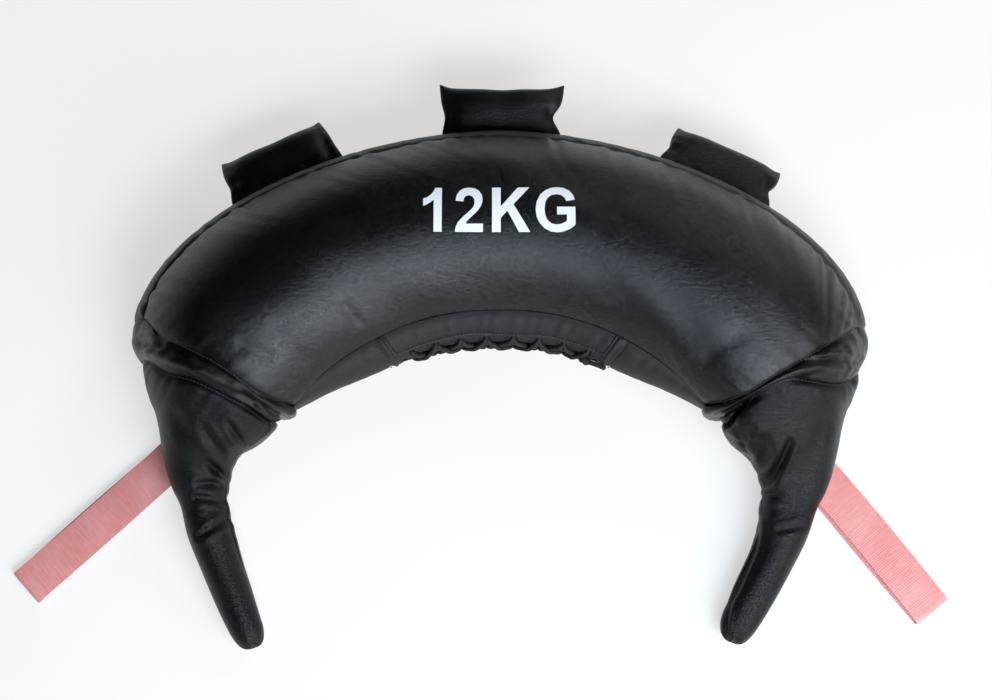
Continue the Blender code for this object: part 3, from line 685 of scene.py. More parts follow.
def horn_lift(side, sizes, points, normals, arc, cut, seam, total, columns):
    """How far the leather of the band and the horn stands out: its seams, puckers, folds and gathers."""
    sign = SIDES[side]
    around = arc_lengths(np.concatenate([points, points[:, :1]], 1), 1)[:, :-1]
    turn = np.arctan2(points[..., 2] - points.mean(1)[:, None, 2], points[..., 0] - points.mean(1)[:, None, 0])
    from_body, from_seam, to_tip = arc + cut, np.abs(arc - seam), total - arc
    in_band = (arc < seam)
    on_top = ease((normals[..., 2] + 0.2) / 0.5)
    # the two seams across, and the panels' seams that run into the band
    lift = seam_dip(from_body, sizes.seam_depth * 0.55) + seam_dip(from_seam, sizes.seam_depth * 0.7)
    for column in (0, FRONT, FRONT + OUTER, RING - INNER):
        away = np.abs((columns - column + RING / 2) % RING - RING / 2) * 0.0036
        lift += seam_dip(away, sizes.seam_depth * 0.6) * np.exp(-from_body / 0.005)
    # the band's puckers, the groove at the horn's seam and the horn's puckers below it
    band_wave = ripple(around + 0.5 * arc, 0.021, 21 + sign) * (0.6 + 0.4 * ripple(around, 0.06, 5))
    lift += in_band * sizes.pucker_height * 0.4 * band_wave * ease(from_body / 0.008) * ease(from_seam / 0.008)
    lift -= 0.0022 * in_band * bell(from_seam / 0.009) * on_top
    lift -= 0.0022 * ~in_band * bell(from_seam / 0.0035) * on_top
    lift += sizes.pucker_height * 0.45 * ripple(around, 0.017, 31 + sign) * beside_seam(from_seam, 0.015) * ~in_band
    lift += crease(points, normals, HORN_FOLDS[side])
    # small folds inside the bend at the neck, gathers at the tip and a slow wave all over
    drop = neck_point()[1] - points[..., 1]
    inside = ease((0.1 - sign * np.cos(turn)) / 1.1)
    neck_wave = ripple(drop + 0.006 * np.sin(turn), 0.016, 7)
    lift += sizes.pucker_height * 0.55 * bell((drop + 0.004) / 0.030) * inside * neck_wave
    gather = bell(to_tip / 0.014) * ease(to_tip / 0.004)
    lift += 0.0008 * gather * np.sin(turn * 9 + 1.5 * np.sin(3 * turn))
    settled = ease(from_seam / 0.02) * ease(to_tip / 0.03) * ~in_band
    lift += 0.0008 * ripple(around * 0.6 + arc * 0.4, 0.055, 17 + sign) * settled
    # the inner side as it lies in the photograph, with the seam that runs down it
    facing_in = ease((normals @ np.array([-sign, -0.25, 0.0]) - 0.05) / 0.75)
    lift += np.interp(-points[..., 1], *INNER_SIDE[side]) * facing_in * ease(from_seam / 0.006 + 0.4 * ~in_band)
    if side == "right":
        distance = to_line(points, INNER_HORN_SEAM)
        facing = ease((normals[..., 2] + 0.35) / 0.4)
        beside = bell(distance / 0.0015) - 0.35 * bell((distance - 0.0036) / 0.0018)
        lift -= 0.0019 * beside * facing * ~in_band * ease(to_tip / 0.02)
    return lift * ease(to_tip / 0.0015)


def build_horn(side, sizes):
    """The end band between the seams, and the horn with its hand grip as one skin."""
    sign = SIDES[side]
    stations = horn_stations(side)
    length = path_lengths(stations.mean(1))
    even = np.linspace(0, length[-1], int(length[-1] / 0.0014) + 1)
    wanted = np.unique(np.concatenate([even, [length[END_SECTION]]]))
    rows = np.interp(wanted, length, np.arange(len(stations)))
    columns = np.arange(0, RING, 0.5)
    mesh_rows, mesh_columns = np.meshgrid(rows, columns, indexing="ij")
    fine = sample(stations, mesh_rows, mesh_columns, True)
    arcs = arc_lengths(fine, 0)
    arcs = arcs - arcs[np.argmin(np.abs(rows - END_SECTION))]
    total = arcs[-1]
    cut = trim(side, columns)
    seam = band_seam(side, rows, columns, arcs, cut)

    band_share = np.concatenate([[0, 0.03, 0.07, 0.13], np.linspace(0.2, 0.8, 13), [0.87, 0.93, 0.97]])
    horn_steps = int((total.mean() - seam.mean()) / 0.0019)
    horn_share = np.concatenate([[0, 0.003, 0.007, 0.012], np.linspace(0.018, 1, horn_steps)])
    arc = np.concatenate([
        mix(-cut, seam, band_share[:, None]),
        seam + (total - seam) * horn_share[:, None],
    ])
    points = reslice(fine, arcs, arc)
    share = ease((arc + cut) / 0.012)[..., None]
    normals = unit(end_normals(side, columns) * (1 - share) + horn_normals(points, sign) * share)
    lift = horn_lift(side, sizes, points, normals, arc, cut, seam, total, columns)
    points = points + normals * lift[..., None]
    points[-1] = points[-1].mean(0)
    found = horn_normals(points, sign)
    MADE["horn_surface_" + side] = (points[::2, ::2], np.nan_to_num(found[::2, ::2]))

    split = len(band_share)
    MADE["seam_line_" + side] = (points[split + 1], normals[split + 1])
    row = split // 2
    outward = (points[row, FRONT], normals[row, FRONT])
    band = skin("end_band_" + side, points[:split + 1], BODY_LEATHER, outward, True)
    finish_piece(band, "bag", "band", ["end_gusset_" + side])
    row = split + horn_steps // 3
    outward = (points[row, FRONT], normals[row, FRONT])
    horn = skin("horn_" + side, points[split:], HORN_LEATHER, outward, True)
    covers = ["horn_base_cover_" + side, "horn_grip_cover_" + side]
    finish_piece(horn, None, "horn", covers)
    x, y = neck_point()
    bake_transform(horn)


def to_line(points, line):
    """Each point's distance in plan from a line of several points."""
    return np.min([to_segment(points, *ends)[0] for ends in zip(line, line[1:])], axis=0)


# The seam down the right horn's inner side, in plan
INNER_HORN_SEAM = (
    (0.1969, -0.1547), (0.2105, -0.1747), (0.2251, -0.1880), (0.2351, -0.1984), (0.2421, -0.2125), (0.2454, -0.2256),
    (0.2462, -0.2397), (0.2442, -0.2583), (0.2405, -0.2741), (0.2354, -0.2879), (0.2280, -0.3045), (0.2213, -0.3201),
    (0.2138, -0.3338), (0.2100, -0.3474), (0.2090, -0.3610),
)
# How far each horn's inner side stands out or in (second row) at a distance down from the origin (first row)
INNER_SIDE = {
    "left": (
        (0.150, 0.168, 0.182, 0.200, 0.215, 0.240, 0.262, 0.300, 0.345, 0.375),
        (0.000, 0.0050, 0.0010, -0.0055, -0.0040, -0.0026, -0.0015, -0.0028, -0.0030, 0.000),
    ),
    "right": (
        (0.150, 0.168, 0.182, 0.200, 0.219, 0.238, 0.250, 0.266, 0.286, 0.375),
        (0.000, 0.0085, 0.0080, 0.0055, 0.0060, 0.0068, 0.0050, 0.0022, 0.000, 0.000),
    ),
}


def horn_normals(points, sign):
    """Outward normals of a ring grid that runs down a horn."""
    normals = normals_of(points, True) * sign
    outwards = points - points.mean(1, keepdims=True)
    return -normals if np.mean(np.sum(normals * outwards, -1)) < 0 else normals


def end_normals(side, columns):
    """The body's normals round its end seam."""
    row = float(ROWS if SIDES[side] > 0 else 0)
    return unit(sample(MADE["body_normals"], np.full(len(columns), row), columns, True))


# For each panel: its nodes, finish and slot, how fine its mesh is, the puckers at its two long seams as (seed,
# strength, pitch, reach), and the way out
PANEL_SKINS = (
    ("front", "front_panel", "leather", "black_leather", 0.5,
     ((3, 0.45, 0.013, 0.014), (11, 1.35, 0.019, 0.024)), (0, 0, 1)),
    ("outer", "outer_gusset", "gusset_outer", "gusset_leather", 0.5,
     ((4, 0.9, 0.017, 0.014), (5, 0.6, 0.019, 0.013)), (0, 1, 0)),
    ("back", "back_panel", "leather", "black_leather", 0.75,
     ((6, 0.5, 0.022, 0.016), (7, 0.4, 0.015, 0.014)), (0, 0, -1)),
)


def blown_up(grid):
    """The body's grid after its leather, cut a little long beside the seams, is blown up by the filling."""
    pins = np.zeros(grid.shape[:2])
    growth = np.zeros(grid.shape[:2])
    for first, _ in PANELS.values():
        pins[:, first] = 1
        for step, weight in ((1, 1.0), (2, 0.9), (3, 0.7), (4, 0.5), (5, 0.3)):
            for column in ((first + step) % RING, (first - step) % RING):
                growth[:, column] = np.maximum(growth[:, column], weight)
    pins[0] = pins[-1] = 1
    return inflate("body_cloth", grid, pins, growth, pressure=4.0, frames=20, cap=0.006)


class BAG_OT_body(bpy.types.Operator):
    """Makes the leather body: its panels, blown up by the filling, and the seams between them"""

    bl_idname = "bag.body"
    bl_label = "Body panels"

    def execute(self, context):
        sizes = context.scene.bag_sizes
        grid = body_grid(np.linspace(-1, 1, ROWS + 1))
        grid = blown_up(grid)
        MADE["body"] = grid
        MADE["body_normals"] = normals_of(grid, True)
        for side, node, finish, slot, step, puckers, out in PANEL_SKINS:
            points, normals, along, across, lift = panel_points(side, step, sizes, puckers)
            back_along = along[-1] - along
            for distance, seed in ((along, 51), (back_along, 52)):
                lift += seam_dip(distance, sizes.seam_depth * 0.55)
                wave = ripple(across + 0.3 * distance, 0.019, seed)
                lift += sizes.pucker_height * 0.4 * wave * beside_seam(distance, 0.014)
            if side == "front":
                lift += front_dents(points)
                lift += 0.0007 * ripple(along + 0.4 * across, 0.11, 61) * ease(np.minimum(along, back_along) / 0.05)
            if side == "back":
                lift = np.where(points[..., 2] < 0.004, np.maximum(lift, -0.0004), lift)
            points = points + normals * lift[..., None]
            if side == "back":
                points[..., 2] = np.maximum(points[..., 2], 0.0)
            middle = tuple(s // 2 for s in points.shape[:2])
            piece = skin(node + "_skin", points, BODY_LEATHER, (points[middle], out))
            finish_piece(piece, "bag", finish, [node])
            MADE[side] = (points, normals)
        return {"FINISHED"}


def front_dents(points):
    """Shallow dents and folds seen on the front panel, in plan."""
    dents = (
        ((-0.1390, -0.0770), (-0.1300, -0.0850), -0.0016, 0.006),
        ((-0.2300, -0.1130), (-0.2080, -0.1210), -0.0014, 0.006),
        ((-0.1980, -0.1000), (-0.1800, -0.1200), -0.0010, 0.008),
        ((0.1900, -0.1180), (0.2150, -0.1050), -0.0010, 0.008),
        ((0.2750, 0.0200), (0.2350, -0.0150), -0.0008, 0.012),
    )
    lift = np.zeros(points.shape[:2])
    for start, stop, depth, width in dents:
        distance, _ = to_segment(points, start, stop)
        lift += depth * bell(distance / width)
    return lift


class BAG_OT_ends(bpy.types.Operator):
    """Makes the end bands and the two horns with their folded hand grips"""

    bl_idname = "bag.ends"
    bl_label = "End bands and horns"

    def execute(self, context):
        for side in SIDES:
            build_horn(side, context.scene.bag_sizes)
        return {"FINISHED"}


# Half the filling opening's length, as a share; half the slit's width; the holes' distance from its middle
OPENING, SLIT, HOLE_DROP = 0.52, 0.0045, 0.0110
GUSSET_HALF = (FRONT_SEAM - BACK_SEAM) / 2
LACE_PAIRS = 8
# How far the inner gussets lap over the opening's hems, and where the two rows of stitches run from the lap's edge
OVERLAP, OVERLAP_ROWS = 0.030, (0.0026, 0.0108)


def gusset_point(u, drop, depth=0.0):
    """Points on the inner gusset, drop below the slit's middle and depth below the face."""
    u, drop = np.broadcast_arrays(np.asarray(u, float), np.asarray(drop, float))
    column = RING - INNER + (np.clip(-drop / GUSSET_HALF, -1, 1) + 1) / 2 * INNER
    rows = (u + 1) / 2 * ROWS
    points = sample(MADE["body"], rows, column, True)
    normals = unit(sample(MADE["body_normals"], rows, column, True))
    return points - normals * np.asarray(depth)[..., None] * np.ones(u.shape)[..., None], normals


def gusset_spot(u, drop, depth):
    """One point on the inner gusset, and its normal."""
    points, normals = gusset_point(np.array([u]), np.array([drop]), np.array([depth]))
    return points[0], normals[0]


def gusset_sheet(name, node, us, drops, lift, thickness=GUSSET_LEATHER):
    """A sheet laid on the inner gusset; us, drops and lift are grids of the same shape."""
    points, normals = gusset_point(us, drops, -lift)
    middle = tuple(s // 2 for s in points.shape[:2])
    piece = skin(name, points, thickness, (points[middle], normals[middle]))
    finish_piece(piece, "bag", "gusset", [node])


def hem_line(u):
    """How far from the slit's middle the hem is sewn down; it runs a little unevenly."""
    return 0.0168 + 0.0012 * ripple(u * INNER_SPAN / 2, 0.07, 131)


def lace_places():
    first = -0.82 * OPENING
    return [first + pair * (-2 * first / (LACE_PAIRS - 1)) for pair in range(LACE_PAIRS)]


class BAG_OT_opening(bpy.types.Operator):
    """Makes the inner gussets, the hems of the filling opening, its tongue and the lacing"""

    bl_idname = "bag.opening"
    bl_label = "Filling opening"

    def execute(self, context):
        sizes = context.scene.bag_sizes
        for side, sign in SIDES.items():
            edge = OPENING - OVERLAP + np.array([0.0, 0.002, 0.005, 0.009])
            u = np.concatenate([edge, np.linspace(0.505, PANEL_REACH, 64)])
            us, drops = np.meshgrid(u * sign, np.linspace(-GUSSET_HALF, GUSSET_HALF, 41), indexing="ij")
            whole = np.ones(us.shape)
            from_edge = (u - u[0])[:, None] * INNER_SPAN / 2 * whole
            to_end = (PANEL_REACH - u)[:, None] * INNER_SPAN / 2 * 0.6 * whole
            to_seam = GUSSET_HALF - np.abs(drops)
            lap = 1 - ease((u - OPENING) / 0.012)[:, None]
            lift = seam_dip(to_seam, sizes.seam_depth) + 0.0021 * lap * (1 - bell(from_edge / 0.0012))
            for row in OVERLAP_ROWS:
                lift -= 0.0017 * bell((from_edge - row) / 0.0009) * (from_edge < 0.02)
            lift += seam_dip(to_end, sizes.seam_depth)
            wave = ripple(us * INNER_SPAN / 2, 0.014, 71)
            lift += sizes.pucker_height * 0.5 * beside_seam(to_seam, 0.012) * wave
            gusset_sheet("inner_gusset_skin_" + side, "inner_gusset_" + side, us, drops, lift)
        places = lace_places()
        u = np.linspace(-OPENING, OPENING, 261)
        pull = 0.5 + 0.5 * np.cos(2 * np.pi * (u - places[0]) / (places[1] - places[0]))
        pull = np.where(np.abs(u) > 0.88 * OPENING + 0.03, 0.4, pull)
        share = np.concatenate([np.linspace(0, 0.75, 16), [0.81, 0.86, 0.90, 0.93, 0.955, 0.975, 0.99, 1.0]])
        for name, sign in (("front", -1), ("back", 1)):
            edge = SLIT * (1.0 - 0.55 * pull) + 0.0003 * ripple(u, 0.05, 81 + sign)
            us, shares = np.meshgrid(u, share, indexing="ij")
            drops = sign * mix(GUSSET_HALF, edge[:, None], shares)
            to_edge = np.abs(drops) - edge[:, None]
            to_seam = GUSSET_HALF - np.abs(drops)
            lift = seam_dip(to_seam, sizes.seam_depth)
            lift += 0.0009 * ease(1 - to_edge / 0.0135) * (1 - bell(to_edge / 0.0011))
            lift -= 0.0011 * bell((np.abs(drops) - hem_line(us)) / 0.0009)
            lift += 0.0007 * (pull[:, None] - 0.5) * np.exp(-to_edge / 0.009)
            wave = ripple(us * INNER_SPAN / 2, 0.013, 91 + sign)
            lift += sizes.pucker_height * 0.45 * beside_seam(to_seam, 0.010) * wave
            for place in places:
                away = np.hypot((us - place) * INNER_SPAN / 2, drops - sign * HOLE_DROP)
                lift += 0.0006 * bell((away - 0.0036) / 0.0012) - 0.0042 * np.exp(-((away / 0.0024) ** 4))
            gusset_sheet("opening_hem_skin_" + name, "opening_hem_" + name, us, drops, lift)
        us, drops = np.meshgrid(np.linspace(-0.51, 0.51, 120), np.linspace(-0.0215, 0.0215, 19), indexing="ij")
        from_middle = np.abs(drops)
        depth = 0.0072 + 0.0012 * ripple(us * 0.2, 0.02, 95) * ease(1 - from_middle / 0.02)
        depth -= 0.003 * ease((from_middle - 0.014) / 0.008)
        gusset_sheet("closure_tongue_skin", "closure_tongue", us, drops, -depth, TONGUE_LEATHER)
        make_lace(sizes)
        return {"FINISHED"}


def tube(name, path, radius, nodes=(), segments=10):
    """A closed round length of cord along a path of points, with domed ends."""
    path = np.asarray(path, float)
    way = unit(np.gradient(path, axis=0))
    side = np.cross(way[0], [0.3, 0.2, 0.9])
    side /= np.linalg.norm(side)
    rings = []
    angles = np.linspace(0, 2 * np.pi, segments, endpoint=False)
    for point, forward in zip(path, way):
        side = side - forward * (side @ forward)
        side /= np.linalg.norm(side)
        other = np.cross(forward, side)
        rings.append(point + radius * (np.cos(angles)[:, None] * side + np.sin(angles)[:, None] * other))
    caps = [
        np.repeat(ring.mean(0, keepdims=True) + forward * radius * 0.5, segments, 0)
        for ring, forward in ((rings[0], -way[0]), (rings[-1], way[-1]))
    ]
    points = np.array([caps[0], *rings, caps[1]])
    piece = grid_piece(name, points, True)
    middle = len(points) // 2
    face_outwards(piece, (points[middle, 0], points[middle, 0] - points[middle].mean(0)))
    shade(piece)
    finish_piece(piece, "bag", "cord", nodes)


def curve_through(points, step):
    """Evenly spaced points on the smooth curve through a few points."""
    points = np.asarray(points, float)
    length = path_lengths(points)
    wanted = np.linspace(0, length[-1], max(3, int(length[-1] / step) + 1))
    rows = np.interp(wanted, length, np.arange(len(points)))
    grid = np.repeat(points[:, None], 2, 1)
    return sample(grid, rows, np.zeros(len(rows)))


def make_lace(sizes):
    """The lace: it crosses the slit like a shoe's, out and back, through all the holes, and is knotted."""
    radius = sizes.lace_width / 2
    places = lace_places()
    pitch = places[1] - places[0]
    slack = ripple(np.arange(40) * 0.37, 1.0, 101)

    def crossing(first, second, over, number):
        """One stretch from a front hole down to a back hole, above or under the other stretch."""
        sway = 0.10 * pitch * slack[number]
        rise = -0.0016 - 0.0030 * over
        return [
            (first, -1.02, 0.0040),
            (first, -0.98, 0.0006),
            (mix(first, second, 0.12) + sway * 0.3, -0.72, -0.0026),
            (mix(first, second, 0.33) + sway, -0.34, mix(-0.0024, rise, 0.6)),
            (mix(first, second, 0.5) + sway, 0.0, rise),
            (mix(first, second, 0.7) + sway * 0.5, 0.42, mix(-0.0024, rise, 0.5)),
            (mix(first, second, 0.9), 0.82, -0.0026),
            (second, 0.99, 0.0006),
            (second, 1.02, 0.0044),
        ]

    route = []
    for index in range(len(places) - 1):
        stretch = crossing(places[index], places[index + 1], index % 2, index)
        route += stretch + [(places[index + 1], 0.0, 0.0060)]
    back = []
    for index in range(len(places) - 1, 0, -1):
        stretch = crossing(places[index], places[index - 1], 1 - (index - 1) % 2, index + 12)
        back += stretch + [(places[index - 1], 0.0, 0.0066)]
    for name, stops, nodes in (("closure_lace_cord", route, ["closure_lace"]), ("closure_lace_return", back, ())):
        path = [gusset_spot(u, drop * HOLE_DROP, depth)[0] for u, drop, depth in stops]
        tube(name, curve_through(path, 0.0012), radius, nodes)
    centre, normal = gusset_spot(places[-1] + 0.004, -HOLE_DROP * 0.35, -0.0050)
    along = gusset_spot(places[-1] + 0.024, -HOLE_DROP * 0.35, -0.0050)[0] - centre
    along /= np.linalg.norm(along)
    axes = np.array([along, np.cross(along, normal), normal])
    angle = np.linspace(0, 2 * np.pi, 90)
    knot = np.stack([
        np.sin(angle) + 2 * np.sin(2 * angle),
        np.cos(angle) - 2 * np.cos(2 * angle),
        -0.88 * np.sin(3 * angle),
    ], -1) / 3 * 0.0037
    tube("closure_lace_knot_cord", centre + knot @ axes, radius * 0.86, ["closure_lace_knot"])
    tail = np.array([(0, 0, 0), (0.006, -0.0010, 0.0002), (0.0130, 0.0006, -0.0008), (0.0200, 0.0024, -0.0014)])
    tube("closure_lace_tail", curve_through(centre + tail @ axes, 0.0008), radius * 0.9)


# A side grip's length, how far it stands out from its seam, and its thickness
GRIP_LONG, GRIP_REACH, GRIP_THICK = 0.115, 0.047, 0.034


def gusset_crest(u):
    """The part's crest of the outer gusset, on its middle facet."""
    centre, across, half = body_frame(np.array([float(u)]))
    aside = body_section(np.array([float(u)]), half, "outer", 1 / 3)[0]
    height = body_section(np.array([float(u)]), half, "outer", 0.0)[1]
    return np.array([*(centre[0] + across[0] * aside[0]), np.ravel(height)[0]])


def grip_frame(u):
    step = GRIP_LONG / OUTER_SPAN / 2
    along = gusset_crest(u + step) - gusset_crest(u - step)
    along /= np.linalg.norm(along)
    out = np.array([-along[1], along[0], 0.0])
    return gusset_crest(u) + out * 0.0022, along, out


class BAG_OT_side_grips(bpy.types.Operator):
    """Makes the three stuffed side grips, with their pinched corners and creases"""

    bl_idname = "bag.side_grips"
    bl_label = "Side grips"

    def execute(self, context):
        for name, u in GRIP_PLACE.items():
            build_side_grip(name, u)
        return {"FINISHED"}


def gusset_line(u, x):
    pivot, along, out = grip_frame(u)
    step = GRIP_LONG / OUTER_SPAN / 4
    places = np.array([gusset_crest(u + count * step) - pivot for count in range(-6, 7)])
    return np.interp(x, places @ along, places @ out)


def surface_normals(points):
    """Outward normals of a grid of rings."""
    normals = normals_of(points, True)
    return normals if np.sum(normals * (points - points.mean(1, keepdims=True))) > 0 else -normals


# How far each grip's outer edge draws in, how far its two sewn ends draw in, and the seeds of its waves and creases
GRIP_SAG = {"left": 0.0036, "centre": 0.0046, "right": 0.0022}
GRIP_WAIST = {"left": (0.0030, 0.0010), "centre": (0.0030, 0.0085), "right": (0.0035, 0.0060)}
GRIP_SEEDS = {"left": (3, 201), "centre": (8, 211), "right": (5, 221)}
# How far from a grip's middle its leather is pinched
PINCH = 0.047


def build_side_grip(name, u):
    pivot, along, out = grip_frame(u)
    long_steps, round_steps = 97, 72
    p = np.sin(np.linspace(-math.pi / 2, math.pi / 2, long_steps))
    q = np.linspace(0, 2 * math.pi, round_steps, endpoint=False)
    place, angle = np.meshgrid(p, q, indexing="ij")
    deep = (1 - np.cos(angle)) / 2
    full = mix(0.22, 1.0, deep ** 0.7)
    # the roll closes to a flat sewn edge over its last few millimetres, fuller in the middle
    from_end = (1 - np.abs(place)) * GRIP_LONG / 2
    swell = np.sqrt(np.clip(1 - np.abs(place) ** 3.0, 0, 1))
    swell = swell * (0.80 + 0.20 * ease(from_end / 0.020))
    thick = mix(0.0016, GRIP_THICK / 2, swell)
    ear = GRIP_EARS[name] * deep ** 2
    waist = np.where(place > 0, GRIP_WAIST[name][1], GRIP_WAIST[name][0]) * bell((deep - 0.38) / 0.22)
    x = place * (GRIP_LONG / 2 + ear - waist)
    root = gusset_line(u, np.clip(x, -GRIP_LONG / 2, GRIP_LONG / 2)) + 0.0007
    # the outer edge draws in between the corners, which stay out as ears
    wave_seed, seed = GRIP_SEEDS[name]
    sag = GRIP_SAG[name] * (1 - np.abs(place) ** 4) * deep ** 3
    corner = 0.0022 * bell(from_end / 0.007) * deep ** 4
    reach = GRIP_REACH - sag * (0.8 + 0.15 * ripple(place * 0.06, 0.11, wave_seed)) + corner
    y = mix(root, reach, deep)
    rise = thick * np.sin(angle) * full
    # creases run inwards from the sewn ends, and a few shallow ones cross the roll
    creases = ripple(deep * 0.047 + 0.25 * from_end, 0.012, seed) * np.exp(-from_end / 0.011) * ease(from_end / 0.002)
    cross = ripple(x + 0.3 * y, 0.048, seed + 1)
    lift = 0.0010 * creases + 0.0006 * cross * np.sin(angle / 2) ** 2 * ease(from_end / 0.01)
    upper = np.sin(angle) > 0
    pinch = bell((x - PINCH) / 0.0045) * bell((deep - 0.36) / 0.24) * upper
    other = bell((x + PINCH) / 0.004) * bell((deep - 0.30) / 0.18) * upper
    lift -= 0.0030 * pinch + 0.0016 * other
    lift += 0.0004 * bell((deep - 0.10) / 0.07) * upper * ripple(x, 0.024, seed + 2)
    lift = lift * ease(from_end / 0.0015)
    local = np.stack([x, y, rise], -1)
    height = GRIP_THICK / 2 * swell + 0.001
    normal = unit(np.stack([np.zeros_like(x), -np.cos(angle) * (GRIP_REACH / 2), np.sin(angle) * height], -1))
    local = local + normal * lift[..., None]
    turn = np.array(Matrix.Rotation(-GRIP_DROOP[name], 3, Vector(along)))
    across = local[..., 1:2] * out + local[..., 2:] * np.array([0, 0, 1.0])
    points = pivot + local[..., :1] * along + across @ turn.T
    MADE["grip_surface_" + name] = (points, surface_normals(points))
    # each sewn end is closed by a flat cap, halfway between its upper and its lower side
    caps = [(end + np.roll(end[:, ::-1], 1, 1)) / 2 for end in (points[:1], points[-1:])]
    points = np.concatenate([caps[0], points, caps[1]])
    cover = grid_piece("side_grip_" + name, points, True)
    middle = points[long_steps // 2]
    top = middle[round_steps // 4]
    face_outwards(cover, (top, top - middle.mean(0)))
    shade(cover)
    finish_piece(cover, "grip_" + name, "grip", ["grip_cover_" + name])


# A strap loop's length and width, the gap in its fold, how far along it comes down to the floor, and its thickness
STRAP_LONG, STRAP_WIDE, STRAP_GAP, STRAP_FALL, WEBBING = 0.205, 0.037, 0.0052, 0.034, 0.0014


def strap_line(root):
    """The webbing's middle line as (along, height): out under the horn, round the fold and back."""
    low = WEBBING / 2
    high = low + WEBBING + STRAP_GAP
    turn = (high - low) / 2
    bend = STRAP_LONG - turn - WEBBING / 2
    line = []
    for share in np.linspace(0, 1, 9):
        line.append((STRAP_FALL * share, mix(root - WEBBING / 2 - 0.0004, low, float(ease(share)))))
    for share in np.linspace(0, 1, 13)[1:]:
        line.append((mix(STRAP_FALL, bend, share), low))
    for angle in np.linspace(-math.pi / 2, math.pi / 2, 9)[1:]:
        line.append((bend + turn * math.cos(angle), low + turn + turn * math.sin(angle)))
    for share in np.linspace(0, 1, 13)[1:]:
        x = mix(bend, STRAP_FALL, share)
        line.append((x, high + 0.0010 * math.sin(math.pi * share)))
    for share in np.linspace(0, 1, 9)[1:]:
        line.append((STRAP_FALL * (1 - share), mix(high, root + WEBBING / 2 + 0.0004, float(ease(share)))))
    return np.array(line)


class BAG_OT_straps(bpy.types.Operator):
    """Makes the two folded strap loops of ribbed satin webbing"""

    bl_idname = "bag.straps"
    bl_label = "Strap loops"

    def execute(self, context):
        sizes = context.scene.bag_sizes
        for side in SIDES:
            x, y, root = STRAP_ROOT[side]
            line = strap_line(root)
            path = curve_through(np.concatenate([line, np.zeros((len(line), 1))], 1), 0.0022)
            angle = STRAP_ANGLE[side]
            along = np.array([math.cos(angle), math.sin(angle), 0.0])
            across = np.array([-along[1], along[0], 0.0])
            width = np.linspace(-0.5, 0.5, 25)
            reach, height = path[:, 0][:, None], path[:, 1][:, None]
            lower = ease((0.5 - np.linspace(0, 1, len(path))) / 0.04 + 0.5)[:, None]
            sway = np.sin(np.clip(reach / STRAP_LONG, 0, 1) * np.pi * 0.9) * sizes.strap_shift
            shift = mix(0.0014, -0.0014, lower) * sway
            way = unit(np.gradient(path[:, :2], axis=0))
            bow = 0.0007 * (1 - (2 * width) ** 2)[None] * ease(reach / 0.05)
            selvedge = 0.00025 * bell((0.5 - np.abs(width)) * STRAP_WIDE / 0.0012)[None]
            lift = selvedge + 0.00025 * ripple(reach, 0.035, 301)
            flat = reach - way[:, 1:] * lift
            rise = height + bow * np.where(lower > 0.5, 0.0, 1.0)
            points = (
                np.array([x, y, 0.0])
                + flat[..., None] * along
                + (width[None] * STRAP_WIDE + shift)[..., None] * across
                + rise[..., None] * np.array([0, 0, 1.0])
            )
            strap = grid_piece("strap_webbing_" + side, points)
            face_outwards(strap, (points[len(path) * 3 // 4, 12], (0, 0, 1)))
            give_thickness(strap, WEBBING, 0, math.radians(45))
            finish_piece(strap, "strap_" + side, "webbing", ["strap_" + side])
        return {"FINISHED"}


# Each filling's node, body, finish and slot, the size of its mesh's cells, and how lumpy it is
INNER_SOFT = (
    ("wadding_wrap", "bag", "wadding", "wadding", 0.0060, 0.0016),
    ("filler_sack_left", "bag", "sack", "filler_sack", 0.0050, 0.0015),
    ("filler_sack_centre", "bag", "sack", "filler_sack", 0.0050, 0.0015),
    ("filler_sack_right", "bag", "sack", "filler_sack", 0.0050, 0.0015),
    ("horn_base_stuffing_left", "bag", "wadding", "wadding", 0.0045, 0.0010),
    ("horn_base_stuffing_right", "bag", "wadding", "wadding", 0.0045, 0.0010),
    ("horn_grip_stuffing_left", "horn_left", "wadding", "wadding", 0.0030, 0.0008),
    ("horn_grip_stuffing_right", "horn_right", "wadding", "wadding", 0.0030, 0.0008),
    ("grip_core_left", "grip_left", "foam", "grip_foam", 0.0030, 0.0006),
    ("grip_core_centre", "grip_centre", "foam", "grip_foam", 0.0030, 0.0006),
    ("grip_core_right", "grip_right", "foam", "grip_foam", 0.0030, 0.0006),
)


# The covers that each filling keeps under, how near a cover's point presses it in, and how deep
EVERYWHERE = (1.0, 0.0024)
AT_END_SEAM = (0.015, 0.0125)
INSIDE = {
    **{"grip_core_" + name: (("grip_surface_" + name, EVERYWHERE),) for name in GRIP_PLACE},
    **{"horn_grip_stuffing_" + side: (("horn_surface_" + side, EVERYWHERE),) for side in SIDES},
    **{
        "horn_base_stuffing_" + side: (("horn_surface_" + side, EVERYWHERE), ("front", AT_END_SEAM))
        for side in SIDES
    },
}


def settle(co, points, normals, reach, least):
    """Presses a filling's points in, where its cover is drawn in by a seam or a fold."""
    points, normals = points.reshape(-1, 3), normals.reshape(-1, 3)
    tree = KDTree(len(points))
    for index, point in enumerate(points):
        tree.insert(point, index)
    tree.balance()
    co = co.copy()
    for number, place in enumerate(co):
        for index in [found[1] for found in tree.find_n(place, 6) if found[2] < reach]:
            depth = (points[index] - co[number]) @ normals[index]
            if depth < least:
                co[number] -= normals[index] * (least - depth)
    return co


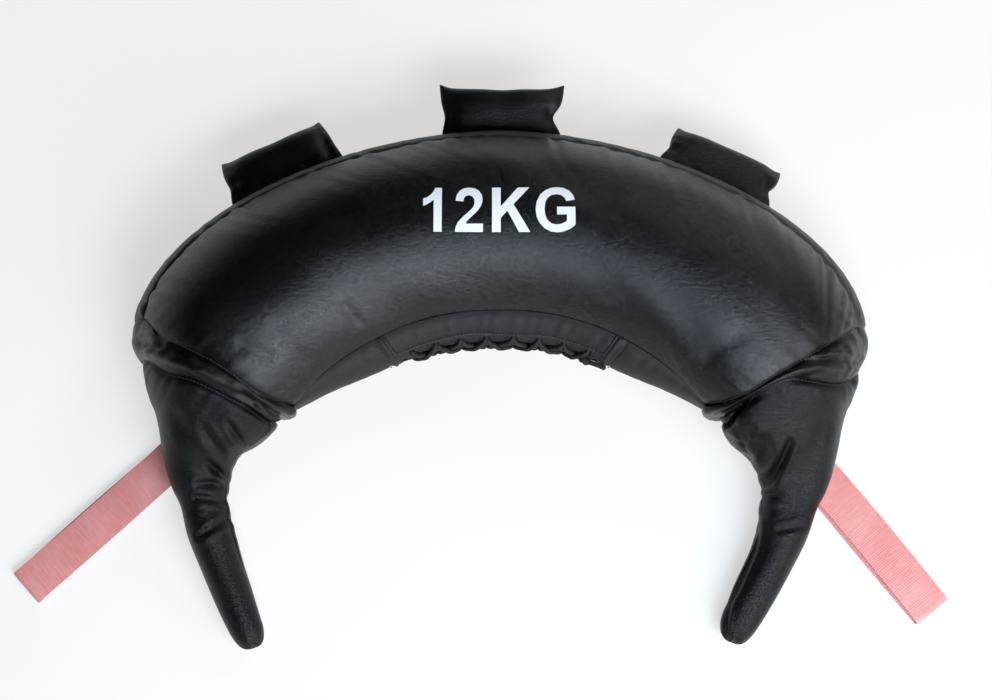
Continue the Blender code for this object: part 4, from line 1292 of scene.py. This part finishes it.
class BAG_OT_filling(bpy.types.Operator):
    """Makes the wadding, the filler sacks and the stuffing inside the bag"""

    bl_idname = "bag.filling"
    bl_label = "Filling"

    def execute(self, context):
        for number, (node, body, finish, slot, cell, lump) in enumerate(INNER_SOFT):
            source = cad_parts[node]
            piece = bpy.data.objects.new(node + "_soft", source.data.copy())
            context.scene.collection.objects.link(piece)
            edit_mesh(
                piece,
                (bpy.ops.mesh.remove_doubles, {"threshold": 0.00002}),
                (bpy.ops.mesh.normals_make_consistent, {"inside": False}),
            )
            remesh = piece.modifiers.new("remesh", "REMESH")
            remesh.mode = "VOXEL"
            remesh.voxel_size = cell
            even = piece.modifiers.new("even", "SMOOTH")
            even.factor = 0.5
            even.iterations = 4
            apply_modifiers(piece)
            co, normal = read_points(piece), read_points(piece, "normal")
            wave = ripple(co[:, 0] + 0.4 * co[:, 2], 0.045, number)
            wave = wave + ripple(co[:, 1] - 0.3 * co[:, 0], 0.037, number + 30)
            co += normal * (lump * (0.35 * wave - 0.75))[:, None]
            for cover, press in INSIDE.get(node, ()):
                co = settle(co, *MADE[cover], *press)
            piece.data.vertices.foreach_set("co", co.ravel())
            piece.data.update()
            select_only(piece)
            bpy.ops.object.shade_smooth()
            finish_piece(piece, body, finish, [node])
        return {"FINISHED"}


# Outlines of the weight mark's figures, one unit high, with the width that each has
MARK_OUTLINES = (
    ((0, .573), (0, .747), (.085, .772), (.168, .830), (.235, .905), (.282, 1), (.437, 1), (.437, 0), (.246, 0),
     (.246, .719), (.170, .660), (.090, .612)),
    ((.605, .178), (.605, 0), (0, 0), (.012, .10), (.055, .195), (.13, .285), (.22, .37), (.32, .46), (.385, .53),
     (.418, .60), (.425, .665), (.41, .74), (.37, .795), (.305, .82), (.24, .805), (.195, .755), (.182, .675),
     (.012, .69), (.035, .82), (.095, .92), (.185, .98), (.305, 1.0), (.43, .98), (.52, .92), (.58, .83),
     (.597, .725), (.585, .63), (.545, .54), (.48, .455), (.39, .365), (.30, .28), (.25, .225), (.235, .178)),
    ((0, 0), (0, 1), (.19, 1), (.19, .556), (.565, 1), (.820, 1), (.470, .612), (.835, 0), (.590, 0), (.335, .465),
     (.19, .302), (.19, 0)),
    ((.473, .375), (.473, .548), (.866, .548), (.866, .150), (.806, .095), (.721, .045), (.600, .005), (.487, -.012),
     (.337, .010), (.206, .08), (.103, .19), (.033, .34), (.014, .50), (.037, .67), (.112, .83), (.225, .935),
     (.356, .995), (.468, 1.012), (.618, .995), (.740, .93), (.820, .83), (.852, .715), (.670, .68), (.637, .76),
     (.571, .82), (.468, .84), (.356, .82), (.272, .755), (.220, .65), (.206, .51), (.220, .36), (.272, .25),
     (.356, .18), (.468, .155), (.562, .17), (.646, .21), (.684, .235), (.684, .375)),
)
# Each figure's left edge, its width as drawn and its width on the bag; then the figures' foot and height
MARK_PLACES = ((-0.0690, 0.437, 0.0168), (-0.0403, 0.605, 0.0251), (-0.0070, 0.835, 0.0342), (0.0316, 0.866, 0.0363))
MARK_FOOT, MARK_HIGH = -0.0112, 0.0412
# The print's distance from the leather, its thickness, and the size of its mesh's cells
INK_LIFT, INK_THICK, INK_CELL = 0.00014, 0.0001, 0.002


class BAG_OT_weight_mark(bpy.types.Operator):
    """Prints the plain weight mark on the front panel"""

    bl_idname = "bag.weight_mark"
    bl_label = "Weight mark"

    def execute(self, context):
        panel = bpy.data.objects["front_panel_skin"]
        tree = BVHTree.FromPolygons([v.co for v in panel.data.vertices], [p.vertices for p in panel.data.polygons])
        parts = []
        for number, (outline, (left, wide, width)) in enumerate(zip(MARK_OUTLINES, MARK_PLACES)):
            bm = bmesh.new()
            corners = [bm.verts.new((left + x / wide * width, MARK_FOOT + y * MARK_HIGH, 0)) for x, y in outline]
            bm.faces.new(corners)
            bmesh.ops.triangulate(bm, faces=bm.faces)
            for axis, low, count in ((0, left, 20), (1, MARK_FOOT, 22)):
                for step in range(1, count):
                    place, way = [0, 0, 0], [0, 0, 0]
                    place[axis], way[axis] = low + step * INK_CELL, 1
                    cells = list(bm.verts) + list(bm.edges) + list(bm.faces)
                    bmesh.ops.bisect_plane(bm, geom=cells, plane_co=place, plane_no=way)
            for vert in bm.verts:
                hit = tree.ray_cast(Vector((vert.co.x, vert.co.y, 0.3)), Vector((0, 0, -1)))[0]
                vert.co.z = hit.z + INK_LIFT
            bmesh.ops.recalc_face_normals(bm, faces=bm.faces)
            mesh = bpy.data.meshes.new("mark_%d" % number)
            bm.to_mesh(mesh)
            bm.free()
            piece = bpy.data.objects.new("mark_%d" % number, mesh)
            context.scene.collection.objects.link(piece)
            face_outwards(piece, (mesh.vertices[0].co[:], (0, 0, 1)))
            wall = piece.modifiers.new("ink", "SOLIDIFY")
            wall.thickness = INK_THICK
            wall.offset = -1
            apply_modifiers(piece)
            parts.append(piece)
        bpy.ops.object.select_all(action="DESELECT")
        for piece in parts:
            piece.select_set(True)
        bpy.context.view_layer.objects.active = parts[0]
        bpy.ops.object.join()
        mark = bpy.context.object
        mark.name = "weight_mark"
        finish_piece(mark, "bag", "ink")
        return {"FINISHED"}


def stitch_shape(length, thickness):
    """One stitch: a small capsule along X, as plain arrays of points and faces."""
    bpy.ops.object.select_all(action="DESELECT")
    bpy.ops.mesh.primitive_uv_sphere_add(segments=6, ring_count=4, radius=1)
    piece = bpy.context.object
    co = np.array([v.co[:] for v in piece.data.vertices])
    faces = [tuple(p.vertices) for p in piece.data.polygons]
    bpy.data.objects.remove(piece)
    co = np.stack([co[:, 2] * length / 2, co[:, 0] * thickness / 2, co[:, 1] * thickness / 2], -1)
    return co, faces


def stitch_rows(name, lines, sizes):
    """Rows of stitches along lines of (points, normals), all in one piece."""
    shape, faces = stitch_shape(sizes.stitch_pitch * 0.74, sizes.thread_width)
    all_points, all_faces = [], []
    for points, normals in lines:
        length = path_lengths(points)
        count = max(2, int(length[-1] / sizes.stitch_pitch))
        step = sizes.stitch_pitch * 0.3

        def read(rows, place):
            return np.array([np.interp(place, length, rows[:, axis]) for axis in range(3)])

        for middle in (np.arange(count) + 0.5) * length[-1] / count:
            way = read(points, middle + step) - read(points, middle - step)
            way /= max(np.linalg.norm(way), 1e-9)
            up = read(normals, middle)
            up = up - way * (up @ way)
            up /= max(np.linalg.norm(up), 1e-9)
            base = len(all_points)
            all_points.extend(read(points, middle) + shape @ np.array([way, np.cross(up, way), up]))
            all_faces.extend(tuple(base + i for i in face) for face in faces)
    mesh = bpy.data.meshes.new(name)
    mesh.from_pydata([tuple(p) for p in all_points], [], all_faces)
    piece = bpy.data.objects.new(name, mesh)
    bpy.context.scene.collection.objects.link(piece)
    select_only(piece)
    bpy.ops.object.shade_smooth()
    finish_piece(piece, "bag", "thread")


# How far the stitches of the end seams stand out of the leather's surface
STITCH_LIFT = 0.0003


class BAG_OT_stitches(bpy.types.Operator):
    """Sews the visible seams with rows of thread"""

    bl_idname = "bag.stitches"
    bl_label = "Stitching"

    def execute(self, context):
        lines = []
        u = np.linspace(-OPENING + 0.01, OPENING - 0.01, 240)
        for sign in (-1, 1):
            lines.append(gusset_point(u, sign * hem_line(u), np.full(len(u), -0.0007)))
        drop = np.linspace(-GUSSET_HALF + 0.003, GUSSET_HALF - 0.010, 40)
        for sign in SIDES.values():
            for row in OVERLAP_ROWS:
                place = sign * (OPENING - OVERLAP + row / (INNER_SPAN / 2))
                lines.append(gusset_point(np.full(len(drop), place), drop, np.full(len(drop), -0.0006)))
        points, normals = MADE["front"]
        seams = [(points[row, 3:-3], normals[row, 3:-3]) for row in (1, -2)]
        seams += [(points[2:82], normals[2:82]) for points, normals in (MADE["seam_line_" + side] for side in SIDES)]
        lines += [(points + normals * STITCH_LIFT, normals) for points, normals in seams]
        stitch_rows("body_stitches", lines, context.scene.bag_sizes)
        return {"FINISHED"}


class Value:
    """A shader socket that takes part in Python arithmetic."""

    def __init__(self, tree, socket):
        self.tree, self.socket = tree, socket

    def maths(self, operation, other=None, first=None):
        values = {0: self if first is None else first}
        if other is not None:
            values[1] = other
        return self.tree.node("ShaderNodeMath", {"operation": operation}, values)[0]

    def __add__(self, other):
        return self.maths("ADD", other)

    def __sub__(self, other):
        return self.maths("SUBTRACT", other)

    def __rsub__(self, other):
        return self.maths("SUBTRACT", self, other)

    def __mul__(self, other):
        return self.maths("MULTIPLY", other)


class Finish:
    """A material under construction, with one way to make a node."""

    def __init__(self, name):
        self.material = bpy.data.materials.new(name)
        self.material.use_nodes = True
        self.nodes = self.material.node_tree.nodes
        self.links = self.material.node_tree.links
        self.shader = self.nodes["Principled BSDF"]

    def put(self, socket, value):
        if isinstance(value, Value):
            self.links.new(value.socket, socket)
        else:
            socket.default_value = value

    def node(self, kind, settings=None, values=None):
        made = self.nodes.new(kind)
        for name, value in (settings or {}).items():
            setattr(made, name, value)
        for key, value in (values or {}).items():
            self.put(made.inputs[key], value)
        return [Value(self, socket) for socket in made.outputs]

    def place(self, scale=(1, 1, 1), rotation=(0, 0, 0), uv=False):
        start = self.node("ShaderNodeTexCoord")[2 if uv else 3]
        return self.stretch(start, scale, rotation)

    def stretch(self, start, scale, rotation=(0, 0, 0)):
        return self.node("ShaderNodeMapping", None, {"Vector": start, "Scale": scale, "Rotation": rotation})[0]

    def noise(self, place, scale, detail=3.0, roughness=0.5):
        return self.node("ShaderNodeTexNoise", None, {
            "Vector": place, "Scale": scale, "Detail": detail, "Roughness": roughness,
        })[0]

    def cells(self, place, scale, feature="DISTANCE_TO_EDGE"):
        return self.node("ShaderNodeTexVoronoi", {"feature": feature}, {"Vector": place, "Scale": scale})[0]

    def wave(self, place, scale, distortion, direction):
        made = self.node("ShaderNodeTexWave", {"wave_type": "BANDS", "bands_direction": direction}, {
            "Vector": place, "Scale": scale, "Distortion": distortion,
        })
        return made[1]

    def limit(self, value, low, high, to_low, to_high):
        return self.node("ShaderNodeMapRange", {"clamp": True}, {
            "Value": value, "From Min": low, "From Max": high, "To Min": to_low, "To Max": to_high,
        })[0]

    def blend(self, factor, first, second):
        made = self.nodes.new("ShaderNodeMix")
        made.data_type = "RGBA"
        self.put(made.inputs[0], factor)
        for index, colour in ((6, first), (7, second)):
            self.put(made.inputs[index], colour if isinstance(colour, Value) else (*colour, 1.0))
        return Value(self, made.outputs[2])

    def bump(self, height, strength, distance):
        return self.node("ShaderNodeBump", None, {"Height": height, "Strength": strength, "Distance": distance})[0]

    def finish(self, **sockets):
        for name, value in sockets.items():
            self.put(self.shader.inputs[name.replace("_", " ")], value)
        return self.material


def grained_leather(name, colour, pale, roughness, grain, depth, sheen):
    """Black faux leather: small uneven pebbles, pores between them, and a soft sheen that varies."""
    skin = Finish(name)
    place = skin.place()
    warp = skin.noise(place, 90.0, 2.0)
    pebbles = skin.cells(place, grain)
    fine = skin.cells(place, grain * 2.7, "F1")
    pebble_height = skin.limit(pebbles, 0.0, 0.32, 0.0, 1.0)
    small = skin.noise(place, grain * 3.4, 3.0, 0.6)
    broad = skin.noise(place, 14.0, 3.0, 0.55)
    crinkle = skin.noise(skin.place((0.55, 1.5, 1.0), (0, 0, 0.25)), 300.0, 3.0, 0.6)
    height = pebble_height * 0.62 + fine * 0.22 + small * 0.35 + warp * 0.25 + crinkle * 2.8
    # The tone varies at random with the broad noise, and is also painted darker in the creases between the pebbles:
    # painted shade.
    tone = skin.limit(broad + (pebble_height - 0.5) * 0.18, 0.25, 0.85, 0.0, 1.0)
    base = skin.blend(tone, colour, pale)
    uneven = broad * 0.6 + small * 0.4 + warp * 0.09
    rough = skin.limit(uneven, 0.25, 0.80, roughness - 0.06, roughness + 0.09)
    return skin.finish(
        Base_Color=base,
        Roughness=rough,
        Normal=skin.bump(height, 0.75, depth * 1.15),
        **{"Specular IOR Level": sheen},
    )


# The leathers: name, base colour, how dark and how pale it gets, roughness, grains per metre, their depth, sheen
LEATHERS = {
    "leather": ("black_leather", "leather", 1.0, 1.9, 0.25, 1050.0, 0.00018, 0.42),
    "horn": ("horn_leather", "leather", 1.6, 2.6, 0.30, 1050.0, 0.00024, 0.22),
    # The end bands take a darker copy of the black leather with less sheen: painted shade for the shadow that the bands
    # lie in.
    "band": ("band_leather", "leather", 0.9, 1.4, 0.26, 1050.0, 0.00020, 0.31),
    "grip": ("grip_leather", "leather", 0.85, 1.4, 0.30, 1050.0, 0.00017, 0.30),
    "gusset": ("inner_gusset_leather", "gusset", 0.7, 1.1, 0.52, 1250.0, 0.00018, 0.3),
    # The outer gusset takes a paler copy of the gusset leather than the inner one: partly the gusset's own grey, partly
    # painted light on its rim.
    "gusset_outer": ("outer_gusset_leather", "gusset", 1.3, 2.0, 0.42, 1100.0, 0.00016, 0.45),
}


def make_materials(colours):
    """All the finishes of the bag."""
    made = {}
    for key, (name, base, dark, pale, *rest) in LEATHERS.items():
        low, high = (tuple(c * share for c in getattr(colours, base)) for share in (dark, pale))
        made[key] = grained_leather(name, low, high, *rest)

    thread = Finish("sewing_thread")
    twist = thread.wave(thread.place(), 900.0, 1.5, "DIAGONAL")
    # The thread's colour is painted lighter along the crests of its twist, as painted glints, and darker in its
    # grooves, as painted shade.
    made["thread"] = thread.finish(
        Base_Color=thread.blend(thread.limit(twist, 0, 1, 0, 1), (0.025, 0.025, 0.026), (0.075, 0.076, 0.078)),
        Roughness=thread.limit(twist, 0.0, 1.0, 0.42, 0.62),
        Normal=thread.bump(twist, 0.4, 0.0001),
    )

    cord = Finish("black_cord")
    place = cord.place((1, 1, 1), (0, 0, 0), True)
    one, other = (cord.wave(cord.stretch(place, (turns, 520.0, 1.0)), 0.31, 0.6, "DIAGONAL") for turns in (8.0, -8.0))
    braid = one.maths("MAXIMUM", other)
    fuzz = cord.noise(cord.place(), 2600.0, 2.0)
    # The cord's colour is painted lighter on the braid's raised strands and darker in its grooves, as painted sheen and
    # painted shade; the fuzz adds random tone.
    made["cord"] = cord.finish(
        Base_Color=cord.blend(braid * 0.7 + fuzz * 0.3, (0.001, 0.001, 0.0012), (0.006, 0.006, 0.007)),
        Roughness=cord.limit(fuzz, 0.2, 0.8, 0.55, 0.8),
        Normal=cord.bump(braid * 0.8 + fuzz * 0.3, 0.7, 0.00035),
    )

    satin = Finish("pink_webbing")
    ribs_place = satin.place((1.0, 1.0, 1.0), (0, 0, 0), True)
    across = satin.node("ShaderNodeSeparateXYZ", None, {"Vector": ribs_place})
    ribs = (across[1] * 2.0 * math.pi * 195.0).maths("SINE") * 0.5 + 0.5
    cords = (across[0] * 2.0 * math.pi * 46.0).maths("SINE") * 0.5 + 0.5
    cloud = satin.noise(satin.place(), 26.0, 3.0)
    fleck = satin.noise(satin.place(), 900.0, 2.0)
    # The webbing's colour is paled by a cloudy random tone and by streaks across its width; the streaks are painted
    # sheen of the satin.
    sheen_streaks = satin.noise(satin.place((2.5, 190.0, 1.0), (0, 0, 0), True), 1.0, 3.0, 0.6)
    light = satin.limit(cloud * 0.5 + sheen_streaks * 0.5, 0.34, 0.70, 0.0, 1.0)
    colour = satin.blend(light, tuple(colours.webbing), tuple(colours.webbing_light))
    # The grooves between the ribs and between the cords are painted darker: painted shade.
    colour = satin.blend((1.0 - ribs) * 0.20 + (1.0 - cords) * 0.06, colour, tuple(c * 0.72 for c in colours.webbing))
    made["webbing"] = satin.finish(
        Base_Color=colour,
        Roughness=satin.limit(ribs * 0.5 + fleck * 0.5, 0.2, 0.8, 0.46, 0.34),
        Normal=satin.bump(ribs * 0.6 + cords * 0.25 + sheen_streaks * 0.6, 0.5, 0.00035),
        Sheen_Weight=0.25,
        Sheen_Roughness=0.4,
    )

    ink = Finish("white_print")
    grain = ink.cells(ink.place(), 1050.0)
    worn = ink.noise(ink.place(), 260.0, 4.0, 0.65)
    made["ink"] = ink.finish(
        Base_Color=ink.blend(ink.limit(worn, 0.22, 0.34, 0.0, 1.0), (0.30, 0.30, 0.31), tuple(colours.ink)),
        Roughness=ink.limit(worn, 0.3, 0.7, 0.48, 0.6),
        Normal=ink.bump(grain, 0.3, 0.0001),
    )

    wadding = Finish("wadding")
    lumps = wadding.noise(wadding.place(), 60.0, 6.0, 0.7)
    fibres = wadding.noise(wadding.place((1, 1, 3)), 900.0, 3.0, 0.7)
    made["wadding"] = wadding.finish(
        Base_Color=wadding.blend(lumps, (0.60, 0.58, 0.52), (0.82, 0.80, 0.75)),
        Roughness=wadding.limit(fibres, 0.2, 0.8, 0.9, 1.0),
        Normal=wadding.bump(lumps * 0.6 + fibres * 0.6, 0.8, 0.0012),
    )

    sack = Finish("filler_sack")
    place = sack.place()
    warp, weft = (sack.wave(place, 130.0, 0.8, direction) for direction in ("X", "Y"))
    weave = warp.maths("MULTIPLY", weft)
    made["sack"] = sack.finish(
        Base_Color=sack.blend(weave, (0.18, 0.15, 0.11), (0.42, 0.36, 0.27)),
        Roughness=sack.limit(weave, 0.0, 1.0, 0.95, 0.75),
        Normal=sack.bump(weave, 0.7, 0.0005),
    )

    foam = Finish("grip_foam")
    pores = foam.cells(foam.place(), 700.0, "F1")
    made["foam"] = foam.finish(
        Base_Color=foam.blend(pores, (0.30, 0.30, 0.28), (0.62, 0.61, 0.55)),
        Roughness=foam.limit(pores, 0.0, 0.6, 0.95, 0.8),
        Normal=foam.bump(pores, 0.6, 0.0006),
    )
    return made


class BAG_OT_materials(bpy.types.Operator):
    """Makes the leathers, cord, thread, webbing and filling finishes"""

    bl_idname = "bag.materials"
    bl_label = "Finishes"

    def execute(self, context):
        MADE["materials"] = make_materials(context.scene.bag_colours)
        return {"FINISHED"}


# Each lamp's name, place, aim, width, height, watts and colour
LAMPS = (
    ("window", (1.5, -2.0, 1.9), (0.0, -0.1, 0.06), 2.6, 1.45, 68.0, (1.0, 0.985, 0.965)),
    ("sky", (0.40, -1.05, 1.35), (0.05, -0.05, 0.08), 1.1, 0.55, 27.0, (0.66, 0.83, 1.0)),
    ("door", (1.3, 1.5, 1.5), (0.1, 0, 0.08), 0.8, 0.8, 13.0, (1.0, 0.985, 0.96)),
    ("wall", (-1.6, 0.7, 1.3), (0.0, -0.1, 0.08), 0.8, 0.8, 0.2, (1.0, 0.98, 0.96)),
)
# The strength of the floor's own white, and of the world's light
FLOOR_GLOW, WORLD_LIGHT = 0.37, 0.02
# The camera's height angle, what it looks at, its distance from there and its lens
CAMERA_ELEVATION, CAMERA_AIM, CAMERA_AWAY, CAMERA_LENS = math.radians(78), (-0.003, -0.104, 0.075), 1.6, 62.5


def soft_light(name, place, aim, width, height, power, colour):
    lamp = bpy.data.lights.new(name, "AREA")
    lamp.shape = "RECTANGLE"
    lamp.size = width
    lamp.size_y = height
    lamp.energy = power
    lamp.color = colour
    holder = bpy.data.objects.new(name, lamp)
    holder.location = place
    holder.rotation_euler = (Vector(aim) - Vector(place)).to_track_quat("-Z", "Y").to_euler()
    bpy.context.scene.collection.objects.link(holder)


class BAG_OT_stage(bpy.types.Operator):
    """Sets the pale floor, the soft lights and the camera"""

    bl_idname = "bag.stage"
    bl_label = "Stage"

    def execute(self, context):
        scene = context.scene
        colours = scene.bag_colours
        bpy.ops.object.select_all(action="DESELECT")
        bpy.ops.mesh.primitive_plane_add(size=14, location=(0, 0, -0.0002))
        floor = context.object
        floor.name = "floor"
        paper = Finish("floor_paper")
        tone = paper.noise(paper.place(), 0.8, 2.0)
        paper.finish(
            Base_Color=paper.blend(tone, tuple(colours.floor), tuple(min(1, c * 1.01) for c in colours.floor)),
            Roughness=0.9,
        )
        ray = paper.node("ShaderNodeLightPath")
        seen = ray[0].maths("MAXIMUM", ray[3]).maths("MAXIMUM", ray[8])
        glow = paper.nodes.new("ShaderNodeEmission")
        glow.inputs["Color"].default_value = (1.0, 0.99, 0.975, 1.0)
        glow.inputs["Strength"].default_value = 1.0
        both = paper.nodes.new("ShaderNodeMixShader")
        paper.put(both.inputs[0], seen * FLOOR_GLOW)
        paper.links.new(paper.shader.outputs[0], both.inputs[1])
        paper.links.new(glow.outputs[0], both.inputs[2])
        paper.links.new(both.outputs[0], paper.nodes["Material Output"].inputs[0])
        floor.data.materials.append(paper.material)

        world = bpy.data.worlds.new("studio")
        scene.world = world
        world.use_nodes = True
        ground = world.node_tree.nodes["Background"]
        ground.inputs["Color"].default_value = (0.97, 0.98, 1.0, 1.0)
        ground.inputs["Strength"].default_value = WORLD_LIGHT
        for lamp in LAMPS:
            soft_light(*lamp)

        away = Vector((0, -math.cos(CAMERA_ELEVATION), math.sin(CAMERA_ELEVATION)))
        camera = bpy.data.cameras.new("camera")
        camera.lens = CAMERA_LENS
        camera.sensor_width = 36
        camera.clip_start = 0.05
        camera.clip_end = 50
        holder = bpy.data.objects.new("camera", camera)
        holder.location = Vector(CAMERA_AIM) + away * CAMERA_AWAY
        holder.rotation_euler = (-away).to_track_quat("-Z", "Y").to_euler()
        scene.collection.objects.link(holder)
        scene.camera = holder
        scene.view_settings.view_transform = "Standard"
        return {"FINISHED"}


def length_setting(name, description, default, least=0.0):
    return FloatProperty(name=name, description=description, default=default, min=least, unit="LENGTH")


def colour_setting(name, description, *default):
    return FloatVectorProperty(name=name, description=description, subtype="COLOR", default=default)


class BagSizes(bpy.types.PropertyGroup):
    seam_depth: length_setting("Seam depth", "How deep a panel dips into its seams", 0.0023)
    pucker_height: length_setting("Pucker height", "How high the leather puckers beside a seam", 0.0022)
    stitch_pitch: length_setting("Stitch pitch", "Distance from stitch to stitch", 0.0036, 0.001)
    thread_width: length_setting("Thread width", "Thickness of the sewing thread", 0.0009, 0.0001)
    lace_width: length_setting("Lace width", "Thickness of the lacing cord", 0.0050, 0.001)
    strap_shift: FloatProperty(
        name="Strap shift", description="How far the strap's layers lie off each other, as a factor", default=1.0
    )


class BagColours(bpy.types.PropertyGroup):
    leather: colour_setting("Leather", "Colour of the black leather", 0.0012, 0.0015, 0.0018)
    gusset: colour_setting("Gusset", "Colour of the greyer gussets", 0.0165, 0.0168, 0.0167)
    webbing: colour_setting("Webbing", "Colour of the webbing", 0.77, 0.240, 0.215)
    # This pale colour serves both the webbing's random pale places and its painted sheen streaks.
    webbing_light: colour_setting("Light webbing", "Colour of the webbing's pale places", 0.88, 0.415, 0.39)
    ink: colour_setting("Print", "Colour of the weight mark", 0.86, 0.87, 0.88)
    floor: colour_setting("Floor", "Colour of the floor", 0.915, 0.90, 0.88)


OPERATORS = (
    BAG_OT_materials,
    BAG_OT_stage,
    BAG_OT_body,
    BAG_OT_ends,
    BAG_OT_opening,
    BAG_OT_side_grips,
    BAG_OT_straps,
    BAG_OT_filling,
    BAG_OT_weight_mark,
    BAG_OT_stitches,
)


class BAG_PT_panel(bpy.types.Panel):
    """Lists the steps that make the bag"""

    bl_label = "Bulgarian bag"
    bl_idname = "BAG_PT_panel"
    bl_space_type = "VIEW_3D"
    bl_region_type = "UI"
    bl_category = "Bulgarian bag"

    def draw(self, context):
        for group in (context.scene.bag_sizes, context.scene.bag_colours):
            for name in group.__annotations__:
                self.layout.prop(group, name)
        for operator in OPERATORS:
            self.layout.operator(operator.bl_idname)


CLASSES = (BagSizes, BagColours, *OPERATORS, BAG_PT_panel)


def register():
    for made in CLASSES:
        bpy.utils.register_class(made)
    bpy.types.Scene.bag_sizes = PointerProperty(type=BagSizes)
    bpy.types.Scene.bag_colours = PointerProperty(type=BagColours)


def unregister():
    del bpy.types.Scene.bag_colours
    del bpy.types.Scene.bag_sizes
    for made in reversed(CLASSES):
        bpy.utils.unregister_class(made)


def main():
    register()
    for operator in OPERATORS:
        group, name = operator.bl_idname.split(".")
        getattr(getattr(bpy.ops, group), name)()


if __name__ == "__main__":
    main()
